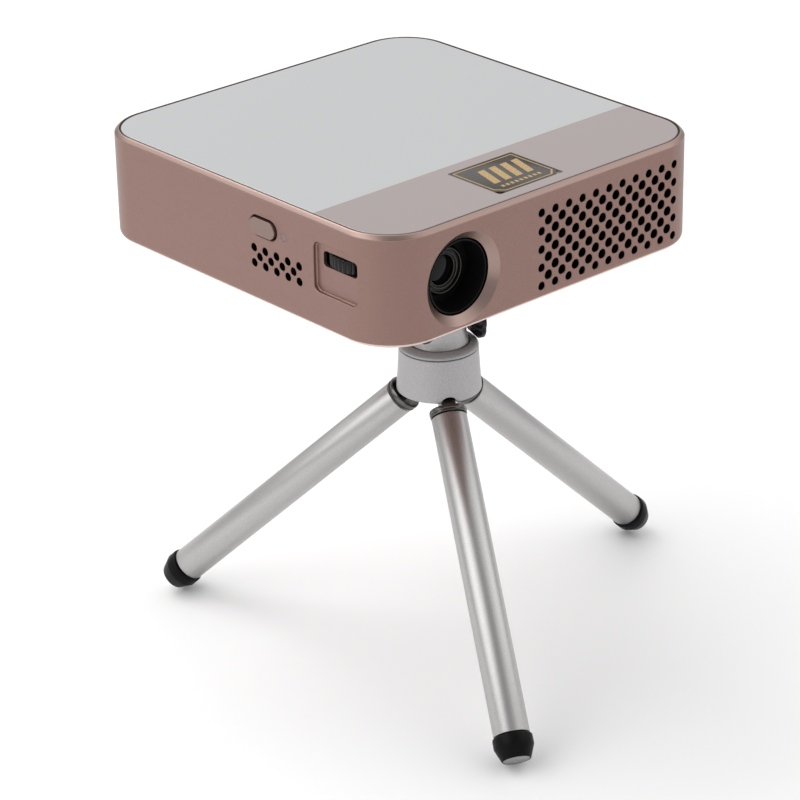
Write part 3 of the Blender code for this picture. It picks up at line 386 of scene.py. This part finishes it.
def boolean(piece, *steps):
    """Applies Booleans with (operation, shape, matrix in the piece's frame) tools."""
    tools = []
    for operation, shape, at in steps:
        bmesh.ops.recalc_face_normals(shape, faces=shape.faces)
        mesh = bpy.data.meshes.new("tool")
        shape.to_mesh(mesh)
        shape.free()
        mesh.transform(at)
        tool = bpy.data.objects.new("tool", mesh)
        tool.matrix_world = piece.matrix_world
        bpy.context.scene.collection.objects.link(tool)
        step = piece.modifiers.new("step", "BOOLEAN")
        step.operation = operation
        step.solver = "EXACT"
        step.object = tool
        tools.append(tool)
    bpy.context.view_layer.update()
    solid = piece.evaluated_get(bpy.context.evaluated_depsgraph_get())
    mesh = bpy.data.meshes.new_from_object(solid)
    piece.modifiers.clear()
    piece.data = mesh
    for tool in tools:
        bpy.data.objects.remove(tool)
    return piece


def weigh_normals(piece):
    """Keeps big flat faces flat beside holes and rounded edges."""
    piece.data.shade_smooth()
    piece.data.set_sharp_from_angle(angle=math.radians(SHARP))
    step = piece.modifiers.new("weigh", "WEIGHTED_NORMAL")
    step.keep_sharp = True
    step.weight = 100
    return piece


def place(piece, body, slot_name, *nodes):
    """Hands a piece to the frame, its turn moved into the mesh so that its box is as tight as its shape."""
    piece.data.transform(piece.matrix_world.to_3x3().to_4x4())
    piece.matrix_world = Matrix.Translation(piece.matrix_world.translation)
    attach(piece, body)
    if nodes:
        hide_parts(*nodes)
    return piece


# ---------------------------------------------------------------- projector: case


def case_outline(inset):
    """The case's outline from above, moved in."""
    return rounded(CASE.x / 2 - inset, CASE.y / 2 - inset, CASE_CORNER - inset)


def case_ring(section):
    """A ring that follows the case's outline, with a closed section of (inset, height)."""
    shape = bmesh.new()
    skin(shape, [[(x, y, z) for x, y in case_outline(inset)] for inset, z in section], closed=True)
    return shape


def case_plate(inset, stations):
    """A plate that follows the case's outline, with (inset, height) stations for its edge."""
    half_x, half_y, corner = CASE.x / 2 - inset, CASE.y / 2 - inset, CASE_CORNER - inset
    return slab_mesh(half_x, half_y, corner, stations, steps=CORNER_STEPS)


def case_section():
    """The wall's closed section as (inset, height): bottom edge, top chamfer, seat for the glass, inner lip."""
    bottom = arc(2.5, 2.5, 2.5, 270, 180, 11)
    top = [(0.0, 32.2), (0.04, 32.4), (0.14, 32.57), (0.92, 33.35), (1.02, 33.44), (1.12, 33.48), (1.22, 33.5)]
    return [*bottom, *top, (1.44, 33.5), (1.44, 32.0), (2.2, 32.0), (2.2, 2.7), (4.5, 2.7), (4.5, 0.0)]


def through(at):
    """A wall's frame, seen from the case's frame."""
    return BASE.inverted() @ at


def hole_mesh(holes, flare, steps=20):
    """Round holes with a small flare at the wall's face, for (across, up, radius) in a wall's frame."""
    shape = bmesh.new()
    for across, up, radius in holes:
        stations = ((radius + flare, 1.0), (radius + flare, 0.0), (radius, -flare), (radius, -THROUGH))
        loops = [[(across + x, up + y, z) for x, y in circle(r, steps)] for r, z in stations]
        skin(shape, loops)
    return shape


def pocket_mesh(centre, size, corner, depth, flare, floor_round, steps=10):
    """A rounded pocket with a flared mouth and a rounded floor, in a wall's frame."""
    stations = [(-flare, 1.0), (-flare, 0.0), (0.0, -flare)]
    stations += arc(floor_round, floor_round - depth, floor_round, 180, 270, 7)
    return slab_mesh(size[0] / 2, size[1] / 2, corner, stations, centre, steps)


def staggered(columns, rows, first, pitch, radius, edge_radius):
    """A grid with every other place left out, as (across, up, radius). The outermost have their own radius."""
    holes = []
    for i in range(columns):
        for j in range(rows):
            if (i + j) % 2 == 0:
                edge = i in (0, columns - 1) or j in (0, rows - 1)
                size = edge_radius if edge else radius
                holes.append((first[0] + i * pitch[0], first[1] + j * pitch[1], size))
    return holes


def polish(case):
    """Bright-cut top chamfer and lens cone; a light pink on the lower edge, a painted highlight for the floor's
    reflection; and black on the walls inside the vent holes, painted shade.
    """
    across, up = LENS
    front, side = -CASE.y / 2, -CASE.x / 2
    for face in case.data.polygons:
        x, y, z = face.center / MM
        tilt = face.normal.z
        cone = math.hypot(x - across, z - up) < 14.0 and abs(face.normal.y) < 0.99 and y < front + 2.5
        if (z > CHAMFER_FOOT and 0.1 < tilt < 0.999) or cone:
            face.material_index = CASE_LOOKS.index("rose_polished")
        # Painted highlight: the lower fillet gets a light, less metallic pink that stands in for the white
        # floor's reflection.
        elif z < 1.3 and -0.95 < tilt < -0.5:
            face.material_index = CASE_LOOKS.index("rose_edge_painted_highlight")
        # Painted shade: the walls inside the front and side vent holes take the black plastic finish so that
        # the holes read dark.
        in_front = y < front + 2.0 and abs(face.normal.y) < 0.1 and -6.5 < x < 50.5
        in_side = x < side + 2.0 and abs(face.normal.x) < 0.1 and -30.5 < y < -7.5 and z < 18.5
        if (in_front or in_side) and 2.6 < z < 29.0:
            face.material_index = CASE_LOOKS.index("black_plastic")


def wall_openings():
    """Everything that goes right through a wall, in the case's frame."""
    cuts = bmesh.new()
    front = staggered(21, 9, (-4.7, 26.75), (2.687, -2.772), 1.45, 1.25)
    merge(cuts, hole_mesh(front, 0.16), through(FRONT))
    side = staggered(9, 3, (9.07, 16.74), (2.436, -2.319), 1.26, 1.26)
    merge(cuts, hole_mesh(side, 0.1), through(LEFT))
    merge(cuts, hole_mesh([(*LIGHT, 1.3)], 0.01, 40), through(LEFT))
    merge(cuts, hole_mesh([(*DC_INLET, 4.3), (*AUDIO_JACK, 3.5)], 0.2, 48), through(REAR))
    for x, width, height, corner in ((15.0, 15.6, 6.4, 1.2), (-9.0, 15.0, 7.6, 0.8)):
        merge(cuts, pocket_mesh((x, 11.0), (width, height), corner, THROUGH, 0.2, 0.01), through(REAR))
    for i in range(12):
        slot = pocket_mesh((-23.0 + 4.0 * i, 16.0), (2.0, 14.0), 0.95, THROUGH, 0.2, 0.01)
        merge(cuts, slot, through(RIGHT))
    cone = ((0.0, 1.0), (14.6, 1.0), (13.75, 0.0), (13.5, -0.18), (11.1, -2.33), (11.1, -4.0), (0.0, -4.0))
    merge(cuts, turned_mesh(cone), through(FRONT) @ moved(*LENS))
    merge(cuts, pocket_mesh(BUTTON, (11.7, 5.95), 2.97, THROUGH, 0.25, 0.01, 14), through(LEFT))
    return cuts


def make_case():
    case = made("case_shell", case_ring(case_section()), CASE_LOOKS, BASE)
    recess = pocket_mesh(RECESS, (17.8, 15.0), 2.2, 1.2, 0.16, 0.5)
    window = pocket_mesh(WINDOW, (13.95, 4.6), 1.3, THROUGH, 0.0, 0.01)
    boolean(
        case,
        ("DIFFERENCE", wall_openings(), HERE),
        ("DIFFERENCE", recess, through(LEFT)),
        ("DIFFERENCE", window, through(LEFT)),
    )
    polish(case)
    place(weigh_normals(case), "projector", "rose_gold", "case")
    gasket = case_ring(((1.46, 32.0), (1.46, 33.36), (1.96, 33.36), (1.96, 32.0)))
    place(made("glass_gasket", gasket, "black_rubber", BASE), "projector", "black_rubber")


def about_badge(outline, factor_x, factor_y):
    """An outline scaled about the badge's middle."""
    cx, cy = BADGE
    return [(cx + (x - cx) * factor_x, cy + (y - cy) * factor_y) for x, y in outline]


def make_top():
    plate = case_plate(GLASS_INSET, [(0.0, 32.3), (0.0, GLASS_EDGE), *rolled_edge(GLASS_EDGE)])
    plate = made("glass_plate", plate, "white_glass", BASE)
    seat = slab_mesh(12.45, 10.75, 0.4, ((0.0, 32.95), (0.0, 34.0)), BADGE, 3)
    boolean(plate, ("DIFFERENCE", seat, HERE))
    place(weigh_normals(plate), "projector", "white_glass", "top_glass")

    outline = [(9.6, -37.7), (-15.0, -37.7), (-15.0, -56.2), (-12.4, -58.9), (7.0, -58.9), (9.6, -56.2)]
    shape = bmesh.new()
    loops = []
    for inset, z in ((0.0, 33.2), (0.0, 33.4), (0.1, 33.46)):
        factor = 1 - inset / BADGE_REACH
        loops.append([(x, y, z) for x, y in about_badge(outline, factor, factor)])
    skin(shape, loops)
    place(made("badge", shape, "badge", BASE), "projector", "badge", "badge_plate")
    place(badge_trim(outline), "projector", "badge")


def badge_trim(outline):
    """Gold inlay: a frame line, slanted bars and a row of squares."""
    shape = bmesh.new()

    def strip(corners):
        skin(shape, [[(x, y, z) for x, y in corners] for z in (33.43, 33.49)])

    outer = about_badge(outline, 0.93, 0.92)
    inner = about_badge(outline, 0.895, 0.88)
    for i in range(len(outline)):
        j = (i + 1) % len(outline)
        strip([outer[i], outer[j], inner[j], inner[i]])
    bar_width, bar_lean, bar_foot, bar_head = 2.5, 2.7, -52.2, -42.2
    for i in range(4):
        x = -10.6 + 4.3 * i
        foot = [(x, bar_foot), (x + bar_width, bar_foot)]
        strip([*foot, (x + bar_lean + bar_width, bar_head), (x + bar_lean, bar_head)])
    low, high = -55.6, -54.2
    for i in range(9):
        x = -10.4 + 1.75 * i
        strip([(x, low), (x + 1.0, low), (x + 1.0, high), (x, high)])
    return made("badge_inlay", shape, "gold", BASE)


def make_bottom():
    panel = case_plate(4.8, ((0.0, 1.8), (0.0, 0.25), (0.07, 0.07), (0.25, 0.0)))
    cover = made("cover_panel", panel, "rose_gold", BASE)
    holes = bmesh.new()
    sink = ((0.0, 2.5), (1.2, 2.5), (1.2, 1.3), (2.2, 0.3), (2.3, -0.5), (0.0, -0.5))
    for x, y in SCREWS:
        merge(holes, turned_mesh(sink, steps=40), moved(x, y))
    seat = ((0.0, 0.8), (4.6, 0.8), (4.6, -0.5), (0.0, -0.5))
    for x, y in PADS:
        merge(holes, turned_mesh(seat, steps=48), moved(x, y))
    nut = turned_mesh(((0.0, 3.0), (5.8, 3.0), (5.8, 0.15), (6.0, -0.5), (0.0, -0.5)), steps=64)
    merge(holes, nut, moved(HEAD_X, HEAD_Y))
    boolean(cover, ("DIFFERENCE", holes, HERE))
    place(weigh_normals(cover), "projector", "rose_gold", "bottom_cover")
    pad = [(0.0, 0.5), (4.0, 0.5), (4.0, -0.4), *arc(3.7, -0.4, 0.3, -20, -90, 5), (0.0, -0.7)]
    for number, (x, y) in enumerate(PADS, 1):
        piece = turned(f"pad_{number}", pad, "black_rubber", BASE @ moved(x, y), steps=64)
        place(piece, "projector", "black_rubber", f"base_pad_{number}")
    ring = ((3.4, 7.3), (5.5, 7.3), (5.5, 0.25), (5.25, 0.0), (3.7, 0.0), (3.4, 0.3))
    piece = turned("nut", ring, "brass", BASE @ moved(HEAD_X, HEAD_Y), True, 64)
    place(piece, "projector", "brass", "tripod_nut")


# ---------------------------------------------------------------- projector: lens, controls, ports


def make_lens():
    at = FRONT @ moved(*LENS)
    tunnel = [
        (10.77, -11.0), (10.77, -2.45), (10.6, -2.35), (10.35, -2.4), (10.2, -2.7), (9.6, -9.4), (7.5, -9.4),
        (7.5, -11.0),
    ]
    place(turned("lens_sleeve", tunnel, "black_plastic", at, True), "projector", "black_plastic", "lens_tunnel")

    barrel = [
        (7.0, -41.0), (7.0, -9.0), (6.95, -8.5), (6.8, -8.28), (6.55, -8.2), (6.3, -8.24), (6.15, -8.45),
        (6.1, -8.8), (5.7, -8.85), (5.6, -8.7), (5.4, -8.7), (5.3, -8.9), (4.9, -9.0), (4.8, -9.15),
        (4.5, -9.2),
        (4.4, -9.4), (4.4, -9.9), (5.4, -10.3), (5.4, -41.0),
    ]
    place(turned("barrel", barrel, "lens_black", at, True), "focus_barrel", "black_plastic", "lens_barrel")
    # Thin lighter rings on the barrel's steps: painted glints where the ring edges catch the light.
    for number, (radius, z) in enumerate(((6.45, -8.21), (5.3, -8.68), (4.62, -9.06)), 1):
        line = [(radius + x, z + y) for x, y in circle(0.16, 12)]
        place(turned(f"barrel_painted_glint_{number}", line, "ring_dark", at, True), "focus_barrel", "black_plastic")
    dome = [(0.0, -13.4), (4.5, -13.2), (5.1, -12.4), (5.1, -10.6), (4.36, -10.1), (4.36, -9.9)]
    dome += [*arc(0.0, -9.9, 4.36, 9, 81, 9, rise=0.75), (0.0, -9.15)]
    glass = turned("lens_front", dome, "lens_glass", at, angle=60.0)
    place(glass, "focus_barrel", "lens_glass", "front_lens")


def make_wheel():
    """A ribbed thumb wheel on an upright axle, in the world's frame. Only its edge shows in the window."""
    low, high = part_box("focus_wheel")
    centre = Vector((low.x + WHEEL_RADIUS * MM, (low.y + high.y) / 2, high.z - WHEEL_HALF * MM))

    def rib(a):
        return 0.55 * (1.0 - (0.5 + 0.5 * math.cos(WHEEL_RIBS * a)) ** 0.6)

    upper = [(WHEEL_RADIUS, 1.5, 1.0), (10.4, 1.8, 0.5), (9.6, WHEEL_HALF, 0.0), (1.3, WHEEL_HALF, 0.0)]
    lower = [(radius, -z, share) for radius, z, share in reversed(upper)]
    shape = relieved_mesh([*lower, *upper], WHEEL_RIBS * 8, rib)
    wheel = made("wheel", shape, "gloss_black", Matrix.Translation(centre), 50.0)
    place(wheel, "focus", "black_rubber", "focus_wheel")


def make_controls():
    face = 0.45
    stations = [(0.0, -2.8), (0.0, face), *rolled_edge(face)]
    button = made("button", slab_mesh(5.4, 2.525, 2.5, stations, BUTTON, 14), "rose_button", LEFT)
    place(weigh_normals(button), "button", "rose_gold", "power_button")
    dot = [(0.0, -6.1), (1.26, -6.1), (1.26, -0.04), (1.22, 0.0), (0.0, 0.0)]
    light = turned("light", dot, "light_pipe", LEFT @ moved(*LIGHT), steps=40)
    place(light, "projector", "light_pipe", "status_light")
    make_wheel()


def make_ports():
    for label, node, where, radius, bore, pin in (
        ("dc_socket", "dc_inlet", DC_INLET, 3.95, 2.7, 0.9),
        ("audio_socket", "audio_jack", AUDIO_JACK, 3.15, 1.8, 0.0),
    ):
        core = [(0.0, -7.4)] if not pin else [(0.0, -1.8), (pin - 0.3, -1.6), (pin, -1.9), (pin, -7.4)]
        mouth = [(bore, -7.4), (bore, -0.7), (bore + 0.25, -0.4)]
        body = [(radius - 0.25, -0.4), (radius, -0.65), (radius, -10.4), (0.0, -10.4)]
        piece = turned(label, [*core, *mouth, *body], "black_plastic", REAR @ moved(*where), steps=64)
        place(piece, "projector", "black_plastic", node)


# ---------------------------------------------------------------- tripod


def make_head():
    plate = [
        (0.0, 6.2), (2.45, 6.2), (3.05, 5.6), (3.05, -1.55), (11.75, -1.6), (12.0, -1.85), (12.0, -3.5),
        (11.9, -3.75), (11.1, -4.5), (10.9, -4.6), (0.0, -4.6),
    ]
    place(turned("platform", plate, "satin_aluminium", HEAD), "ball", "satin_aluminium", "mount_plate")
    pad = ((4.0, -0.3), (11.6, -0.3), (11.8, -0.5), (11.8, -1.3), (4.0, -1.3))
    place(turned("platform_pad", pad, "black_rubber", HEAD, True), "ball", "black_rubber", "plate_pad")
    stem = [(0.0, -4.9), (2.75, -4.9), *arc(0.0, BALL_Z, BALL_RADIUS, 62.7, -90, 25)]
    place(turned("ball", stem, "bright_steel", HEAD), "ball", "steel", "ball_stem")


def make_neck():
    """The ball's socket, notched on one side so that the stem can drop into it."""
    rim = math.degrees(math.asin(3.5 / SOCKET_RADIUS))
    profile = [
        (5.45, -20.2), (7.6, -20.2), (8.2, -20.35), (8.4, -20.8), (8.4, -26.0), (8.45, -26.6), (8.75, -27.9),
        (9.0, -28.4), (9.2, -28.75), (9.2, -30.5), (7.6, -30.5), (7.6, -34.2), (1.9, -34.2), (1.9, -30.2),
        (SOCKET_RADIUS, -30.2), *arc(0.0, BALL_Z, SOCKET_RADIUS, 0, rim, 9),
    ]
    neck = turned("neck_socket", profile, "satin_aluminium", HEAD, True)
    notch = bmesh.new()
    outline = [*arc(0.0, 0.0, NOTCH_HALF, -180, 0, 25), (NOTCH_HALF, 5.0), (-NOTCH_HALF, 5.0)]
    skin(notch, [[(x, u, v) for u, v in outline] for x in (0.0, 12.0)])
    boolean(neck, ("DIFFERENCE", notch, moved(0.0, 0.0, BALL_Z) @ Matrix.Rotation(math.radians(195.0), 4, "Z")))
    place(weigh_normals(neck), "head", "satin_aluminium", "neck")


def make_knob():
    """The lobed clamp knob, on an axis through the ball's middle."""
    turn = Matrix.Rotation(math.radians(-25.0), 4, "Z") @ Matrix.Rotation(math.radians(90.0), 4, "Y")
    stations = (
        (1.8, 9.3, 0.0), (3.2, 9.3, 0.0), (5.9, 11.75, 0.9), (6.1, 12.0, 1.0), (6.1, 12.9, 1.0),
        (5.95, 13.2, 0.9),
        (5.5, 13.4, 0.6), (1.0, 13.4, 0.0), (ON_AXIS, 13.4, 0.0), (ON_AXIS, 12.4, 0.0), (1.8, 12.4, 0.0),
    )
    shape = relieved_mesh(stations, FINE * 2, lambda a: 0.6 * max(0.0, -math.cos(KNOB_LOBES * a)) ** 1.5)
    knob = made("knob", shape, "gloss_black", HEAD @ moved(0.0, 0.0, BALL_Z) @ turn)
    place(knob, "clamp", "black_plastic", "clamp_knob")


def make_hub():
    ring = [
        (9.7, -28.7), (9.95, -28.7), (11.2, -29.35), (11.75, -29.8), (11.95, -30.15), (12.0, -30.5),
        (9.5, -30.5),
        (9.5, -28.85),
    ]
    place(turned("ring", ring, "satin_ring", HEAD, True), "tripod_hub", "satin_aluminium", "collar_ring")
    profile = [
        (7.9, -30.8), (11.7, -30.8), (11.93, -30.95), (12.02, -31.3), (12.35, -37.5), (12.8, -43.3),
        (12.85, -43.8), (12.78, -44.05), (12.5, -44.17), (9.4, -44.37), (9.4, -45.3), (3.2, -45.3),
        (3.2, -43.2),
        (1.9, -43.2), (1.9, -34.5), (7.9, -34.5),
    ]
    hub = turned("hub_body", profile, "satin_aluminium", HEAD, True, 144)
    slots = bmesh.new()
    arches = bmesh.new()
    for azimuth in LEG_AZIMUTHS:
        turn = Matrix.Rotation(math.radians(azimuth), 4, "Z")
        slot = bmesh.new()
        corners = [(4.1, -2.45), (11.6, -2.45), (11.6, 2.45), (4.1, 2.45)]
        skin(slot, [[(x, y, z) for x, y in corners] for z in (-47.0, -40.8)])
        merge(slots, slot, turn)
        arch = bmesh.new()
        skin(arch, [[(reach, x, -44.9 + y) for x, y in circle(2.75, 40)] for reach in (9.0, 16.0)])
        merge(arches, arch, turn)
    boolean(hub, ("DIFFERENCE", slots, HERE), ("DIFFERENCE", arches, HERE))
    place(weigh_normals(hub), "tripod_hub", "satin_aluminium", "hub")


def make_leg(number, azimuth):
    hinge = leg_frame(azimuth)
    at = hinge @ moved(LEG_OFFSET, 0.0)
    body = f"leg_{number}"
    plug = [
        (0.0, -4.9), (5.1, -4.9), (5.5, -5.05), (5.65, -5.4), (5.65, -6.1), (5.5, -6.25), (5.3, -6.35),
        (5.3, -6.6), (5.5, -6.7), (5.6, -6.85), (5.5, -7.05), (5.1, -7.1), (4.3, -7.1), (4.3, -13.0),
        (0.0, -13.0),
    ]
    flange = turned(f"plug_{number}", plug, "dark_steel", at)
    tongue = bmesh.new()
    half = 2.2
    side = [(-half, -6.6), (half, -6.6), *arc(0.0, 0.0, half, 0, 180, 25)]
    skin(tongue, [[(x - LEG_OFFSET, y, z) for x, z in side] for y in (-half, half)])
    hole = turned_mesh(((0.0, 4.0), (1.1, 4.0), (1.1, -4.0), (0.0, -4.0)), steps=32)
    across = moved(-LEG_OFFSET, 0.0) @ Matrix.Rotation(math.radians(90.0), 4, "X")
    boolean(flange, ("UNION", tongue, HERE), ("DIFFERENCE", hole, across))
    place(weigh_normals(flange), body, "dark_steel", f"leg_plug_{number}")

    end = -TUBE_END
    tube = [
        (4.6, -7.4), (5.1, -7.4), (5.3, -7.5), (5.38, -7.7), (5.38, end + 0.25), (5.3, end + 0.06),
        (5.15, end),
        (4.6, end),
    ]
    place(turned(f"tube_{number}", tube, "tube", at, True), body, "satin_aluminium", f"leg_tube_{number}")
    top, tip = end - 0.3, -FOOT_TIP
    foot = [(0.0, top + 6.0), (4.3, top + 6.0), (4.3, top), (5.3, top), *arc(5.2, top - 0.7, 0.7, 80, 0, 6)]
    foot += [(5.9, top - 3.15), (5.8, top - 3.4), (4.34, tip + 0.12), (4.24, tip)]
    foot += [(4.05, tip), (3.95, tip + 0.2), (0.0, tip + 0.2)]
    place(turned(f"foot_{number}", foot, "black_rubber", at), body, "black_rubber", f"leg_foot_{number}")
    low = tip + 0.005
    disc = [(0.0, low + 0.19), (3.93, low + 0.19), (3.93, low + 0.04), (3.85, low), (0.0, low)]
    place(turned(f"foot_face_{number}", disc, "grey_rubber", at), body, "black_rubber")


# ---------------------------------------------------------------- assembly


def dress_cad():
    """Gives every CAD node that stays in view the finish of its material slot."""
    for part in frame["record"]["subparts"]:
        node = frame["nodes"][part["node"]]
        for held in node.material_slots:
            held.material = LOOKS[part["material_slot"]].made


def area_light(name, at, target, size, power):
    lamp = bpy.data.lights.new(name, "AREA")
    lamp.shape = "RECTANGLE"
    lamp.size, lamp.size_y = size
    lamp.energy = power
    holder = bpy.data.objects.new(name, lamp)
    holder.location = at
    holder.rotation_euler = (Vector(target) - Vector(at)).to_track_quat("-Z", "Y").to_euler()
    bpy.context.scene.collection.objects.link(holder)


def shade_sky(tree):
    """A sky that is bright overhead, and darker near the horizon and round the photographer's side."""
    coords = tree.nodes.new("ShaderNodeTexCoord")

    def towards(direction, source, target):
        """Strength by how far a direction of the sky points the given way."""
        dot = tree.nodes.new("ShaderNodeVectorMath")
        dot.operation = "DOT_PRODUCT"
        dot.inputs[1].default_value = Vector(direction).normalized()
        tree.links.new(coords.outputs["Generated"], dot.inputs[0])
        return remapped(tree, dot.outputs["Value"], source, target)

    product = tree.nodes.new("ShaderNodeMath")
    product.operation = "MULTIPLY"
    tree.links.new(towards((0.0, 0.0, 1.0), (0.05, 0.55), (0.42, 1.2)), product.inputs[0])
    tree.links.new(towards((-0.42, -0.50, 0.76), (0.72, 0.95), (1.0, 0.3)), product.inputs[1])
    tree.links.new(product.outputs["Value"], tree.nodes["Background"].inputs["Strength"])


def studio():
    # Half a millimetre below the feet, so that their faces and the floor's don't fall together.
    bpy.ops.mesh.primitive_plane_add(size=6.0, location=(0.0, 0.0, -0.0005))
    floor = bpy.context.object
    floor.name = "floor"
    floor.data.materials.append(Look("floor_white", (0.92, 0.92, 0.92), 0.6).made)
    world = bpy.data.worlds.new("studio")
    world.use_nodes = True
    world.node_tree.nodes["Background"].inputs["Color"].default_value = (1.0, 1.0, 1.0, 1.0)
    shade_sky(world.node_tree)
    bpy.context.scene.world = world
    target = (0.0, 0.0, 0.11)
    area_light("key_light", (-1.05, 0.1, 0.85), target, (1.3, 1.1), 4.5)
    area_light("back_light", (-0.1, 0.75, 1.1), target, (0.9, 0.6), 4.5)
    area_light("right_light", (0.8, -0.7, 0.5), target, (0.5, 0.8), 0.6)


def camera():
    lens = bpy.data.cameras.new("camera")
    lens.lens = CAMERA_LENS
    lens.sensor_width = 36.0
    lens.clip_start = 0.05
    lens.clip_end = 20.0
    holder = bpy.data.objects.new("camera", lens)
    bpy.context.scene.collection.objects.link(holder)
    right = Vector(CAMERA_RIGHT).normalized()
    ahead = Vector(CAMERA_AHEAD).normalized()
    up = right.cross(ahead).normalized()
    turn = Matrix((right, up, -ahead)).transposed().to_4x4()
    holder.matrix_world = BASE @ moved(*CAMERA_AT) @ turn
    bpy.context.scene.camera = holder


dress_cad()
make_case()
make_top()
make_bottom()
make_lens()
make_controls()
make_ports()
make_head()
make_neck()
make_knob()
make_hub()
for leg_number, leg_azimuth in enumerate(LEG_AZIMUTHS, 1):
    make_leg(leg_number, leg_azimuth)
studio()
camera()
bpy.context.scene.view_settings.view_transform = "Standard"
